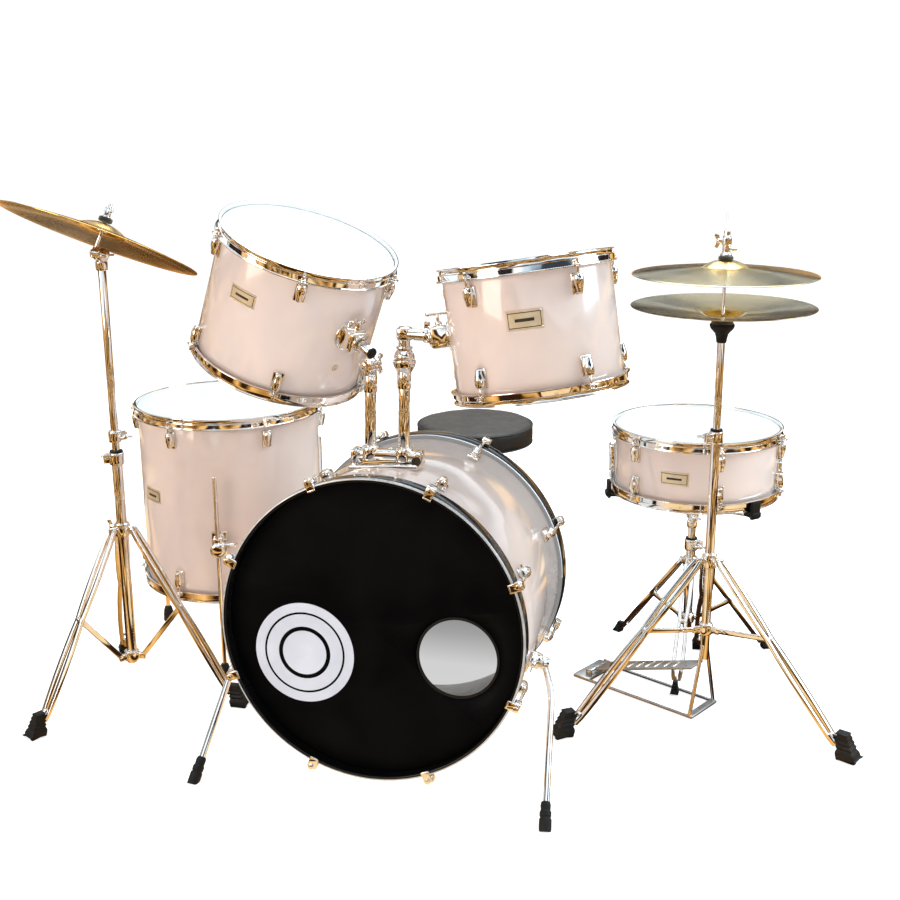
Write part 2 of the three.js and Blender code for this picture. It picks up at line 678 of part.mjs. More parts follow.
const hat = {
  x: 582, y: 237, tube: 9.5, tubeBore: 8.3, upper: 7.5, upperBore: 5, upperBottom: 380, clampTop: 612,
  collar: 339, collarRadius: 25, hub: 188, hubRadius: 25, footCircle: 319, legAngle: -146.3, strutShare: 0.4,
  tubeBottom: 120, tubeTop: 806, seatTop: 832, rodTop: 1040, rodBottom: 128, pedalAngle: 152, heel: 268,
};
const hatCymbal = { radius: 178, bow: 15, bell: 13, bellRadius: 44, hole: 5, thickness: 1.4 };
const hatFrame = addGroup([hat.x, hat.y, 0]);
const hatStrutEnd = [
  hat.collarRadius + hat.strutShare * (hat.footCircle - hat.collarRadius),
  0,
  hat.collar * (1 - hat.strutShare),
];

// The pedal's frame: two rails from the tube down to a heel plate that lies flat on the floor.
function pedalRails() {
  const rails = [1, -1].map((side) => (
    bar([0, side * 48, 3.5], [hat.heel, side * 48, 3.5], 5, 6)
  ));
  const risers = [1, -1].map((side) =>
    rod([0, side * 47, 3], [0, side * 8, hat.tubeBottom + 30], 4, rodSides)
  );
  const heel = block([44, 102, 8], [hat.heel + 10, 0, 4]);
  const ears = [1, -1].map((side) => block([16, 4, 18], [hat.heel, side * 34, 13]));
  const front = block([16, 102, 6], [0, 0, 3.4]);
  const frame = joined([...rails, ...risers, heel, ...ears, front]);
  const hinge = rod([hat.heel, -60, 16], [hat.heel, 60, 16], boreFor(3, rodSides), rodSides);
  return frame.subtract(hinge).rotate([0, 0, hat.pedalAngle]);
}

const hatLower = joined([
  pipe(hat.tubeBottom, hat.clampTop, hat.tube, hat.tubeBore),
  collarRing(hat, hat.tube - 0.5, 16, hat.legAngle),
  hubRing(hat, 15, hat.legAngle).subtract(rod([0, 0, hat.hub - 20], [0, 0, hat.hub + 20], hat.tubeBore)),
  clamp(hat.clampTop, hat.tubeBore, 14),
  pedalRails().subtract(rod([0, 0, 60], [0, 0, 300], hat.tubeBore)),
]);
addPiece(hatFrame, 'hihat_lower_tube', hatLower, 'chrome');
aroundRing(3, hat.legAngle, (angle) => angle).forEach((angle, i) => {
  const [pinX, , pinZ] = hatStrutEnd;
  const rivet = rod([pinX, -7.5, pinZ], [pinX, 7.5, pinZ], 3, rodSides);
  const leg = joined([stripLeg(hat, 17), strut(hat, hatStrutEnd), rivet]);
  addPiece(hatFrame, `hihat_leg_${i + 1}`, leg, 'chrome').rotation.z = angle * degree;
});
const hatUpper = joined([
  pipe(hat.upperBottom, hat.tubeTop, hat.upper, hat.upperBore),
  turned([[hat.upperBore, hat.tubeTop - 10], [9, hat.tubeTop - 10], [24, hat.seatTop - 8],
    [24, hat.seatTop], [hat.upperBore, hat.seatTop]], tubeSides),
]);
addPiece(hatFrame, 'hihat_upper_tube', hatUpper, 'chrome');
const lowerEdge = 862; // rim of the bottom cymbal
const upperEdge = 923;
const bottomCymbal = turned(cymbalProfile(hatCymbal), cymbalSides)
  .mirror([0, 0, 1])
  .translate([0, 0, lowerEdge]);
addPiece(hatFrame, 'hihat_bottom_cymbal', bottomCymbal, 'bronze');
const topCymbal = turned(cymbalProfile(hatCymbal), cymbalSides)
  .translate([0, 0, upperEdge - hatCymbal.thickness]);
addPiece(hatFrame, 'hihat_top_cymbal', topCymbal, 'bronze');

const bellTop = upperEdge + hatCymbal.bow + hatCymbal.bell;
const pullRod = joined([
  rod([0, 0, hat.rodBottom], [0, 0, hat.rodTop], 3.2, rodSides),
  rod([0, 0, bellTop + gap], [0, 0, bellTop + 7], 15, tubeSides),
  rod([0, 0, bellTop + 7], [0, 0, bellTop + 56], 8, tubeSides),
]);
addPiece(hatFrame, 'hihat_pull_rod', pullRod, 'chrome');

// A footboard with its hinge pin at the heel, rising to the toe; built along X from the toe.
function footboard(heel, hingeHeight, toe, toeHeight, width) {
  const board = bar([heel - 6, 0, hingeHeight + 3], [toe, 0, toeHeight], 5, width);
  const pin = rod([heel, -width / 2 - 6, hingeHeight], [heel, width / 2 + 6, hingeHeight], 3, rodSides);
  return joined([board, pin, block([14, 20, 6], [heel - 3, 0, hingeHeight + 1])]);
}

const hatBoard = footboard(hat.heel, 16, 16, 100, 62).rotate([0, 0, hat.pedalAngle]);
addPiece(hatFrame, 'hihat_footboard', hatBoard, 'steel');

// ---------- snare stand ----------

const snareStandFrame = addGroup([snareStand.x, snareStand.y, 0]);
const snareLegs = { collar: snareStand.collar, collarRadius: 22, footCircle: snareStand.footCircle,
  hub: snareStand.hub, hubRadius: 22 };
const snareStrutEnd = [snareLegs.collarRadius + 0.45 * (snareLegs.footCircle - snareLegs.collarRadius), 0,
  snareLegs.collar * 0.55];

// A tripod whose legs and braces are pinned solid to the collar and the hub.
function fixedTripod(legs, strutEnd, tube, bore, clampTop, angle) {
  const limbs = aroundRing(3, angle, (turn) => joined([
    stripLeg(legs, 10.5, false),
    bar([legs.collarRadius - 8, 0, legs.collar], [legs.collarRadius + 4, 0, legs.collar], 12, 13),
    bar([legs.hubRadius - 12, 0, legs.hub], strutEnd, 8, strip.inside * 2 + 1),
  ]).rotate([0, 0, turn]));
  const middle = joined([
    rod([0, 0, legs.hub - 30], [0, 0, clampTop], tube),
    rod([0, 0, legs.hub - 10], [0, 0, legs.hub + 10], tube + 5),
    rod([0, 0, legs.collar - 12], [0, 0, legs.collar + 12], tube + 6),
    clamp(clampTop, bore, tube + 4),
  ]);
  return without(joined([middle, ...limbs]), [rod([0, 0, legs.hub - 10], [0, 0, clampTop + 10], bore)]);
}

addPiece(snareStandFrame, 'snare_stand_tripod', fixedTripod(snareLegs, snareStrutEnd, snareStand.tube,
  snareStand.tubeBore, snareStand.clampTop, snareStand.legAngle), 'chrome');

const basketPin = [0.26, -0.966, 0];
function basketPoint(out, height = snareStand.basket) {
  return [basketPin[0] * out, basketPin[1] * out, height];
}
const snareUpper = joined([
  rod([0, 0, 175], [0, 0, snareStand.basket - 12], snareStand.upper),
  block([14, 14, 10], [0, 0, snareStand.basket - 14]),
  ...[1, -1].map((side) => rod(basketPoint(side * 7), basketPoint(side * 13), 12)),
])
  .subtract(rod(basketPoint(-7), basketPoint(7), 13))
  .subtract(rod(basketPoint(-20), basketPoint(20), 4.4, rodSides));
addPiece(snareStandFrame, 'snare_stand_upper_tube', snareUpper, 'chrome');

const snareBottom = snareHeight - snare.depth / 2 - hoopRise;
const snareRim = snare.radius + hoopReach;
const basketPlate = snareStand.basket + 15;
const basketArms = aroundRing(3, snareStand.armAngle, (angle) => joined([
  bar([10, 0, basketPlate + 8], [snareRim - 6, 0, snareBottom - 12], 7, 12),
  block([14, 24, 14], [snareRim - 2, 0, snareBottom - 8.4]),
  block([8, 24, 40], [snareRim + 6 + gap, 0, snareBottom + 2]),
]).rotate([0, 0, angle]));
const basket = joined([
  rod([0, 0, basketPlate], [0, 0, basketPlate + 16], 16),
  block([9, 9, 20], [0, 0, snareStand.basket + 8]),
  rod(basketPoint(-6.4), basketPoint(6.4), 11),
  rod(basketPoint(-18), basketPoint(18), 4, rodSides),
  ...basketArms,
]);
addPiece(snareStandFrame, 'snare_stand_basket', basket, 'chrome');

// ---------- bass pedal ----------

const pedal = { front: 222, rear: 500, halfWidth: 56, plate: 6, axle: 5, axleY: 268, axleZ: 182, heelY: 486,
  rodLength: 165 };
const pedalPosts = [1, -1].flatMap((side) => [
  rod([side * 46, pedal.axleY, 3], [side * 46, pedal.axleY, pedal.axleZ + 14], 6),
  block([14, 22, 22], [side * 46, pedal.axleY, pedal.axleZ]),
]);
const pedalFrame = without(joined([
  block([pedal.halfWidth * 2, pedal.rear - pedal.front, pedal.plate],
    [0, (pedal.front + pedal.rear) / 2, pedal.plate / 2]),
  block([40, 20, 34], [0, pedal.front + 10, 17]),
  ...pedalPosts,
  ...[1, -1].map((side) => block([5, 18, 22], [side * 44, pedal.heelY, 13])),
]), [
  rod([-60, pedal.axleY, pedal.axleZ], [60, pedal.axleY, pedal.axleZ], boreFor(pedal.axle)),
  rod([-60, pedal.heelY, 18], [60, pedal.heelY, 18], boreFor(3, rodSides), rodSides),
]);
addPiece(kit, 'bass_pedal_frame', pedalFrame, 'steel');
const bassBoard = footboard(pedal.heelY, 18, 292, 84, 72).rotate([0, 0, 90]);
addPiece(kit, 'bass_pedal_footboard', bassBoard, 'steel');
const beaterLean = 32 * degree;
function beaterPoint(length) {
  return [0, pedal.axleY + length * Math.sin(beaterLean), pedal.axleZ + length * Math.cos(beaterLean)];
}
const beaterTip = beaterPoint(pedal.rodLength);
const beater = joined([
  rod([-51, pedal.axleY, pedal.axleZ], [51, pedal.axleY, pedal.axleZ], pedal.axle),
  rod([-12, pedal.axleY, pedal.axleZ], [12, pedal.axleY, pedal.axleZ], 14, tubeSides),
  rod(beaterPoint(0), beaterTip, 3, rodSides),
  rod([-22, beaterTip[1], beaterTip[2]], [22, beaterTip[1], beaterTip[2]], 24, tubeSides),
]);
addPiece(kit, 'bass_pedal_beater', beater, 'steel');

// ---------- throne ----------

const throne = { x: -52, y: 845, seatTop: 450, seatThick: 58, seatRadius: 150, tube: 14.5, post: 11 };
const throneFrame = addGroup([throne.x, throne.y, 0]);
const throneLegs = { collar: 250, collarRadius: 24, footCircle: 235, hub: 120, hubRadius: 24 };
const throneStrutEnd = [24 + 0.42 * 211, 0, 250 * 0.58];
addPiece(throneFrame, 'throne_tripod', fixedTripod(throneLegs, throneStrutEnd, throne.tube,
  boreFor(throne.post), 300, -90), 'chrome');
const seatUnder = throne.seatTop - throne.seatThick;
const seat = joined([
  turned([[0, seatUnder], [140, seatUnder], [throne.seatRadius, seatUnder + 10],
    [throne.seatRadius, throne.seatTop - 12], [138, throne.seatTop], [0, throne.seatTop]]),
  rod([0, 0, seatUnder - 12], [0, 0, seatUnder + 2], 50, tubeSides),
  rod([0, 0, 200], [0, 0, seatUnder], throne.post),
]);
addPiece(throneFrame, 'throne_seat', seat, 'vinyl');

export default kit;
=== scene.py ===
import math
import bpy
import bmesh
from mathutils import Matrix, Vector


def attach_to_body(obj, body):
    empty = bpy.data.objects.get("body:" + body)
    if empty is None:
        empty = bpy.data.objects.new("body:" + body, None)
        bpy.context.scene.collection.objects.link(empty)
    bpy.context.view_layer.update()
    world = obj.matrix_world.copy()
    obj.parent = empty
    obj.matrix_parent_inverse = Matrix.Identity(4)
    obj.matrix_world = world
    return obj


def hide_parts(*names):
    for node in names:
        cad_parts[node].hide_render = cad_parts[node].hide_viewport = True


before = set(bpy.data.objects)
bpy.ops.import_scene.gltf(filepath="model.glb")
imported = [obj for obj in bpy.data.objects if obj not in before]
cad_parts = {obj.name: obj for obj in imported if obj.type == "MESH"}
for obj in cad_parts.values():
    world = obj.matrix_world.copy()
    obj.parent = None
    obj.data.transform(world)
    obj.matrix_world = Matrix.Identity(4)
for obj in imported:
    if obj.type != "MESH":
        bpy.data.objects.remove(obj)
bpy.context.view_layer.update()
degree = math.pi / 180

# The pieces are shaped in millimetres, round the stand or drum they belong to, and end up in metres.
kitFrame = Matrix.Scale(0.001, 4) @ Matrix.Translation((0, -361, 0))


def standAt(x, y, z=0):
    return kitFrame @ Matrix.Translation((x, y, z))


def turnZ(angle):
    return Matrix.Rotation(angle * degree, 4, "Z")


def shift(x, y, z):
    return Matrix.Translation((x, y, z))


bassFrame = standAt(0, 0, 302) @ Matrix.Rotation(86.46 * degree, 4, "X")

cameraSetup = {
    "place": (0.6527, -2.5628, 1.2290),
    "look": (-0.2370, 0.9347, -0.2649),
    "right": (0.9693, 0.2457, 0.0),
    "roll": -0.24,
    "lens": 49.4,
}


def addCamera(setup):
    data = bpy.data.cameras.new("camera")
    data.lens = setup["lens"]
    data.sensor_width = 36
    data.clip_end = 60
    camera = bpy.data.objects.new("camera", data)
    forward = Vector(setup["look"]).normalized()
    right = Vector(setup["right"]).normalized()
    up = right.cross(forward)
    turn = Matrix((right, up, -forward)).transposed().to_4x4()
    camera.matrix_world = Matrix.Translation(setup["place"]) @ turn @ turnZ(setup["roll"])
    bpy.context.collection.objects.link(camera)
    bpy.context.scene.camera = camera


lightSetup = [
    {"name": "warmFront", "place": (-3.2, -4.2, 2.2), "aim": (0, 0, 0.6), "size": 2.4, "power": 105,
     "colour": (1.0, 0.82, 0.68)},
    {"name": "coolSide", "place": (3.9, 0.4, 2.6), "aim": (0, 0, 0.6), "size": 2.2, "power": 120,
     "colour": (0.72, 0.88, 1.0)},
    {"name": "overhead", "place": (0.3, 1.0, 3.9), "aim": (0, 0, 0.5), "size": 3.0, "power": 120,
     "colour": (0.86, 0.95, 1.0)},
]


def addLights(setups):
    for setup in setups:
        data = bpy.data.lights.new(setup["name"], "AREA")
        data.shape = "SQUARE"
        data.size = setup["size"]
        data.energy = setup["power"]
        data.color = setup["colour"]
        light = bpy.data.objects.new(setup["name"], data)
        direction = Vector(setup["aim"]) - Vector(setup["place"])
        light.matrix_world = Matrix.Translation(setup["place"]) @ direction.to_track_quat("-Z",
            "Y").to_matrix().to_4x4()
        bpy.context.collection.objects.link(light)


def ramp(nodes, stops):
    node = nodes.new("ShaderNodeValToRGB")
    elements = node.color_ramp.elements
    while len(elements) < len(stops):
        elements.new(0.5)
    for element, (position, colour) in zip(elements, stops):
        element.position = position
        element.color = (*colour, 1)
    return node


roomStops = [
    (0.00, (1.1, 0.62, 0.2)),
    (0.30, (0.85, 0.42, 0.1)),
    (0.38, (0.05, 0.02, 0.008)),
    (0.455, (0.03, 0.012, 0.005)),
    (0.48, (0.95, 0.5, 0.15)),
    (0.515, (1.1, 0.68, 0.28)),
    (0.53, (0.02, 0.01, 0.008)),
    (0.60, (0.04, 0.03, 0.03)),
    (0.625, (1.5, 1.5, 1.5)),
    (0.70, (0.62, 0.82, 1.0)),
    (0.74, (0.05, 0.06, 0.08)),
    (0.81, (0.04, 0.05, 0.07)),
    (0.84, (1.5, 1.55, 1.6)),
    (1.00, (0.8, 0.95, 1.1)),
]


def buildWorld():
    # a plain white room for the eye and for soft light, and a furnished one in the plating's reflections
    world = bpy.data.worlds.new("studio")
    bpy.context.scene.world = world
    world.use_nodes = True
    nodes, links = world.node_tree.nodes, world.node_tree.links
    nodes.clear()
    out = nodes.new("ShaderNodeOutputWorld")
    plain = nodes.new("ShaderNodeBackground")
    plain.inputs["Strength"].default_value = 0.4
    sky = ramp(nodes, [(0.45, (1.0, 0.72, 0.56)), (0.62, (1.0, 0.86, 0.78)), (0.8, (0.66, 0.88, 1.0))])
    seen = nodes.new("ShaderNodeBackground")
    seen.inputs["Color"].default_value = (1, 1, 1, 1)
    seen.inputs["Strength"].default_value = 1.05
    room = nodes.new("ShaderNodeBackground")
    coords = nodes.new("ShaderNodeTexCoord")
    split = nodes.new("ShaderNodeSeparateXYZ")
    clutter = nodes.new("ShaderNodeTexNoise")
    clutter.inputs["Scale"].default_value = 1.9
    clutter.inputs["Detail"].default_value = 1.5
    sway = nodes.new("ShaderNodeMath")
    sway.operation = "MULTIPLY_ADD"
    sway.inputs[1].default_value = 0.9
    sway.inputs[2].default_value = -0.45
    lift = nodes.new("ShaderNodeMath")
    lift.operation = "ADD"
    height = nodes.new("ShaderNodeMapRange")
    height.inputs["From Min"].default_value = -1
    level = nodes.new("ShaderNodeMapRange")
    level.inputs["From Min"].default_value = -1
    bands = ramp(nodes, roomStops)
    rays = nodes.new("ShaderNodeLightPath")
    first = nodes.new("ShaderNodeMixShader")
    second = nodes.new("ShaderNodeMixShader")
    links.new(coords.outputs["Generated"], split.inputs[0])
    links.new(coords.outputs["Generated"], clutter.inputs["Vector"])
    links.new(clutter.outputs["Fac"], sway.inputs[0])
    links.new(split.outputs["Z"], lift.inputs[0])
    links.new(split.outputs["Z"], level.inputs["Value"])
    links.new(level.outputs["Result"], sky.inputs["Fac"])
    links.new(sway.outputs[0], lift.inputs[1])
    links.new(lift.outputs[0], height.inputs["Value"])
    links.new(height.outputs["Result"], bands.inputs["Fac"])
    links.new(bands.outputs["Color"], room.inputs["Color"])
    links.new(sky.outputs["Color"], plain.inputs["Color"])
    links.new(rays.outputs["Is Glossy Ray"], first.inputs["Fac"])
    links.new(plain.outputs[0], first.inputs[1])
    links.new(room.outputs[0], first.inputs[2])
    links.new(rays.outputs["Is Camera Ray"], second.inputs["Fac"])
    links.new(first.outputs[0], second.inputs[1])
    links.new(seen.outputs[0], second.inputs[2])
    links.new(second.outputs[0], out.inputs["Surface"])


bpy.context.scene.view_settings.view_transform = "Standard"
addCamera(cameraSetup)
addLights(lightSetup)
buildWorld()
print("view and light ready")


def startGroup(name, sockets, outputName, outputType):
    group = bpy.data.node_groups.new(name, "ShaderNodeTree")
    for socketName, kind, value in sockets:
        socket = group.interface.new_socket(socketName, in_out="INPUT", socket_type=kind)
        socket.default_value = value
    group.interface.new_socket(outputName, in_out="OUTPUT", socket_type=outputType)
    entry = group.nodes.new("NodeGroupInput")
    leave = group.nodes.new("NodeGroupOutput")
    coords = group.nodes.new("ShaderNodeTexCoord")
    return group, entry, leave, coords


def makeMottle():
    group, entry, leave, coords = startGroup("cloudyColour", [
        ("Light", "NodeSocketColor", (1, 1, 1, 1)),
        ("Dark", "NodeSocketColor", (0.5, 0.5, 0.5, 1)),
        ("Scale", "NodeSocketFloat", 10.0),
        ("Swirl", "NodeSocketFloat", 0.0),
    ], "Color", "NodeSocketColor")
    nodes, links = group.nodes, group.links
    noise = nodes.new("ShaderNodeTexNoise")
    noise.inputs["Detail"].default_value = 5
    blend = nodes.new("ShaderNodeMix")
    blend.data_type = "RGBA"
    spread = nodes.new("ShaderNodeMapRange")
    spread.inputs["From Min"].default_value = 0.35
    spread.inputs["From Max"].default_value = 0.68
    links.new(coords.outputs["Object"], noise.inputs["Vector"])
    links.new(entry.outputs["Scale"], noise.inputs["Scale"])
    links.new(entry.outputs["Swirl"], noise.inputs["Distortion"])
    links.new(noise.outputs["Fac"], spread.inputs["Value"])
    links.new(spread.outputs["Result"], blend.inputs["Factor"])
    links.new(entry.outputs["Light"], blend.inputs["A"])
    links.new(entry.outputs["Dark"], blend.inputs["B"])
    links.new(blend.outputs["Result"], leave.inputs["Color"])
    return group


def makeUneven():
    group, entry, leave, coords = startGroup("unevenValue", [
        ("Scale", "NodeSocketFloat", 20.0),
        ("Low", "NodeSocketFloat", 0.1),
        ("High", "NodeSocketFloat", 0.3),
    ], "Value", "NodeSocketFloat")
    nodes, links = group.nodes, group.links
    noise = nodes.new("ShaderNodeTexNoise")
    noise.inputs["Detail"].default_value = 6
    noise.inputs["Roughness"].default_value = 0.6
    spread = nodes.new("ShaderNodeMapRange")
    spread.inputs["From Min"].default_value = 0.35
    spread.inputs["From Max"].default_value = 0.7
    links.new(coords.outputs["Object"], noise.inputs["Vector"])
    links.new(entry.outputs["Scale"], noise.inputs["Scale"])
    links.new(noise.outputs["Fac"], spread.inputs["Value"])
    links.new(entry.outputs["Low"], spread.inputs["To Min"])
    links.new(entry.outputs["High"], spread.inputs["To Max"])
    links.new(spread.outputs["Result"], leave.inputs["Value"])
    return group


def makeGrain():
    group, entry, leave, coords = startGroup("fineGrain", [
        ("Scale", "NodeSocketFloat", 400.0),
        ("Strength", "NodeSocketFloat", 0.3),
        ("Depth", "NodeSocketFloat", 0.0002),
    ], "Normal", "NodeSocketVector")
    nodes, links = group.nodes, group.links
    noise = nodes.new("ShaderNodeTexNoise")
    noise.inputs["Detail"].default_value = 4
    bump = nodes.new("ShaderNodeBump")
    links.new(coords.outputs["Object"], noise.inputs["Vector"])
    links.new(entry.outputs["Scale"], noise.inputs["Scale"])
    links.new(noise.outputs["Fac"], bump.inputs["Height"])
    links.new(entry.outputs["Strength"], bump.inputs["Strength"])
    links.new(entry.outputs["Depth"], bump.inputs["Distance"])
    links.new(bump.outputs["Normal"], leave.inputs["Normal"])
    return group


cloudyColour = makeMottle()
unevenValue = makeUneven()
fineGrain = makeGrain()


def newFinish(name, settings):
    material = bpy.data.materials.new(name)
    material.use_nodes = True
    shader = material.node_tree.nodes["Principled BSDF"]
    for socket, value in settings.items():
        shader.inputs[socket].default_value = value
    return material, shader


def useGroup(material, group, values, shader, socket):
    tree = material.node_tree
    node = tree.nodes.new("ShaderNodeGroup")
    node.node_tree = group
    for name, value in values.items():
        node.inputs[name].default_value = value
    tree.links.new(node.outputs[0], shader.inputs[socket])
    return node


def mixedFinish(name, settings, colour, gloss, grain=None):
    # colour: (light, dark, scale, swirl); gloss: (scale, low, high); grain: (scale, strength, depth)
    material, shader = newFinish(name, settings)
    light, dark, scale, swirl = colour
    useGroup(material, cloudyColour, {"Light": (*light, 1), "Dark": (*dark, 1), "Scale": scale,
                                      "Swirl": swirl},
             shader, "Base Color")
    useGroup(material, unevenValue, {"Scale": gloss[0], "Low": gloss[1], "High": gloss[2]}, shader,
             "Roughness")
    if grain:
        useGroup(material, fineGrain, {"Scale": grain[0], "Strength": grain[1], "Depth": grain[2]}, shader,
                 "Normal")
    return material


def ringBump(material, shader, pitch, strength, depth):
    # the fine turned grooves of a cymbal, from each point's own distance to the middle
    nodes, links = material.node_tree.nodes, material.node_tree.links
    reach = nodes.new("ShaderNodeAttribute")
    reach.attribute_name = "fromCentre"
    count = nodes.new("ShaderNodeMath")
    count.operation = "MULTIPLY"
    count.inputs[1].default_value = 2 * math.pi / pitch
    wave = nodes.new("ShaderNodeMath")
    wave.operation = "SINE"
    bump = nodes.new("ShaderNodeBump")
    bump.inputs["Strength"].default_value = strength
    bump.inputs["Distance"].default_value = depth
    links.new(reach.outputs["Fac"], count.inputs[0])
    links.new(count.outputs[0], wave.inputs[0])
    links.new(wave.outputs[0], bump.inputs["Height"])
    links.new(bump.outputs["Normal"], shader.inputs["Normal"])
    return reach


def bronzeFinish(name, inner, outer, settings, gloss):
    material, shader = newFinish(name, settings)
    nodes, links = material.node_tree.nodes, material.node_tree.links
    reach = ringBump(material, shader, 0.0024, 0.3, 0.0002)
    # painted shade: away from the bell the colour falls to a darker outer tone, standing in for the shade
    # seen across the cymbal's outer zone, then goes back to the bell's tone at the very rim
    spread = nodes.new("ShaderNodeMapRange")
    spread.inputs["From Max"].default_value = 0.2
    tones = ramp(nodes, [(0.0, inner), (0.3, inner), (0.5, outer), (0.92, outer), (0.98, inner)])
    links.new(reach.outputs["Fac"], spread.inputs["Value"])
    links.new(spread.outputs["Result"], tones.inputs["Fac"])
    cloud = useGroup(material, cloudyColour,
                     {"Light": (1, 1, 1, 1), "Dark": (0.9, 0.87, 0.8, 1), "Scale": 9, "Swirl": 0.8},
                     shader, "Base Color")
    tint = nodes.new("ShaderNodeMix")
    tint.data_type = "RGBA"
    tint.blend_type = "MULTIPLY"
    tint.inputs["Factor"].default_value = 1
    links.new(tones.outputs["Color"], tint.inputs["A"])
    links.new(cloud.outputs[0], tint.inputs["B"])
    links.new(tint.outputs["Result"], shader.inputs["Base Color"])
    useGroup(material, unevenValue, {"Scale": gloss[0], "Low": gloss[1], "High": gloss[2]}, shader,
             "Roughness")
    return material


def paintedGlowFinish(name):
    # painted light: the batter film's face that looks into the drum gets a dark painted-shade base colour and
    # a painted glow, brighter lower down, standing in for the room's light coming through the film
    material, shader = newFinish(name, {"Roughness": 0.5})
    nodes, links = material.node_tree.nodes, material.node_tree.links
    coords = nodes.new("ShaderNodeTexCoord")
    split = nodes.new("ShaderNodeSeparateXYZ")
    tones = ramp(nodes, [(0.07, (0.7, 0.7, 0.7)), (0.14, (0.4, 0.4, 0.4)), (0.22, (0.2, 0.2, 0.2))])
    links.new(coords.outputs["Object"], split.inputs[0])
    links.new(split.outputs["Z"], tones.inputs["Fac"])
    facing = nodes.new("ShaderNodeSeparateXYZ")
    inner = nodes.new("ShaderNodeMath")
    inner.operation = "LESS_THAN"
    inner.inputs[1].default_value = 0
    glow = nodes.new("ShaderNodeMath")
    glow.operation = "MULTIPLY"
    glow.inputs[1].default_value = 0.9
    # painted shade: on that inner face the film's own colour gives way to a dark grey
    cover = nodes.new("ShaderNodeMix")
    cover.data_type = "RGBA"
    cover.inputs["B"].default_value = (0.08, 0.08, 0.08, 1)
    links.new(coords.outputs["Normal"], facing.inputs[0])
    links.new(facing.outputs["Y"], inner.inputs[0])
    links.new(inner.outputs[0], glow.inputs[0])
    links.new(glow.outputs[0], shader.inputs["Emission Strength"])
    links.new(tones.outputs["Color"], shader.inputs["Emission Color"])
    cloud = useGroup(material, cloudyColour,
                     {"Light": (0.93, 0.95, 0.97, 1), "Dark": (0.86, 0.91, 0.95, 1), "Scale": 6}, shader,
                     "Base Color")
    links.new(inner.outputs[0], cover.inputs["Factor"])
    links.new(cloud.outputs[0], cover.inputs["A"])
    links.new(cover.outputs["Result"], shader.inputs["Base Color"])
    useGroup(material, fineGrain, {"Scale": 900, "Strength": 0.25, "Depth": 0.0003}, shader, "Normal")
    return material


finishes = {
    "pearlWrap": mixedFinish("pearlWrap", {"Coat Weight": 0.8, "Coat Roughness": 0.06, "Sheen Weight": 0.1},
                             ((0.79, 0.63, 0.555), (0.73, 0.6, 0.54), 4, 1.2), (18, 0.14, 0.22)),
    "blackLacquer": mixedFinish("blackLacquer",
                                {"Coat Weight": 0.3, "Coat Roughness": 0.05, "Specular IOR Level": 0.2},
                                ((0.004, 0.004, 0.005), (0.008, 0.007, 0.007), 9, 0.5), (30, 0.12, 0.25)),
    "coatedFilm": mixedFinish("coatedFilm", {"Specular IOR Level": 0.4},
                              ((0.93, 0.95, 0.97), (0.86, 0.91, 0.95), 6, 0.6), (30, 0.42, 0.62),
                              (900, 0.25, 0.0003)),
    "blackFilm": mixedFinish("blackFilm", {"Specular IOR Level": 0.04},
                             ((0.0015, 0.0015, 0.002), (0.004, 0.004, 0.004), 7, 0.5), (14, 0.4, 0.5)),
    "chromePlate": mixedFinish("chromePlate", {"Metallic": 1.0},
                               ((0.93, 0.91, 0.88), (0.82, 0.79, 0.74), 26, 0.4), (60, 0.03, 0.09)),
    "satinSteel": mixedFinish("satinSteel", {"Metallic": 1.0},
                              ((0.5, 0.49, 0.47), (0.36, 0.35, 0.34), 30, 0.6), (80, 0.26, 0.42),
                              (500, 0.2, 0.0002)),
    "blackRubber": mixedFinish("blackRubber", {"Specular IOR Level": 0.35},
                               ((0.0015, 0.0015, 0.0015), (0.004, 0.004, 0.004), 40, 0.3), (60, 0.5, 0.75),
                               (700, 0.4, 0.0004)),
    "seatVinyl": mixedFinish("seatVinyl", {"Specular IOR Level": 0.45},
                             ((0.058, 0.044, 0.032), (0.034, 0.027, 0.021), 12, 0.3), (30, 0.42, 0.6),
                             (650, 0.5, 0.0005)),
    "greyFelt": mixedFinish("greyFelt", {"Sheen Weight": 0.6},
                            ((0.03, 0.028, 0.026), (0.012, 0.011, 0.01), 120, 0.2), (90, 0.85, 0.97),
                            (1500, 0.8, 0.0008)),
    "paintedGlowFilm": paintedGlowFinish("paintedGlowFilm"),
    "mapleInside": mixedFinish("mapleInside", {}, ((0.62, 0.6, 0.57), (0.46, 0.44, 0.41), 14, 3.0),
                               (40, 0.5, 0.66)),
    "brassPlate": mixedFinish("brassPlate", {"Metallic": 0.55},
                              ((0.82, 0.7, 0.5), (0.72, 0.58, 0.38), 60, 0.4), (90, 0.3, 0.42)),
    "engraved": mixedFinish("engraved", {"Metallic": 0.4},
                            ((0.06, 0.045, 0.03), (0.03, 0.024, 0.018), 80, 0.4), (90, 0.5, 0.7)),
    "paleDecal": mixedFinish("paleDecal", {}, ((0.72, 0.73, 0.8), (0.62, 0.63, 0.7), 12, 0.3),
                             (30, 0.35, 0.5)),
    "paintedEdgeHighlight": mixedFinish("paintedEdgeHighlight", {"Metallic": 0.3}, ((0.66, 0.66, 0.64), (0.5, 0.5, 0.5), 40, 0.3),
                              (60, 0.25, 0.4)),
    # the second colour of each bronze is its outer zone's painted-shade tone
    "hatBronze": bronzeFinish("hatBronze", (1.0, 0.76, 0.32), (0.66, 0.56, 0.34), {"Metallic": 1.0},
                              (20, 0.16, 0.24)),
    "crashBronze": bronzeFinish("crashBronze", (0.95, 0.58, 0.16), (0.17, 0.08, 0.022), {"Metallic": 1.0},
                                (20, 0.1, 0.18)),
}
print("finishes ready")


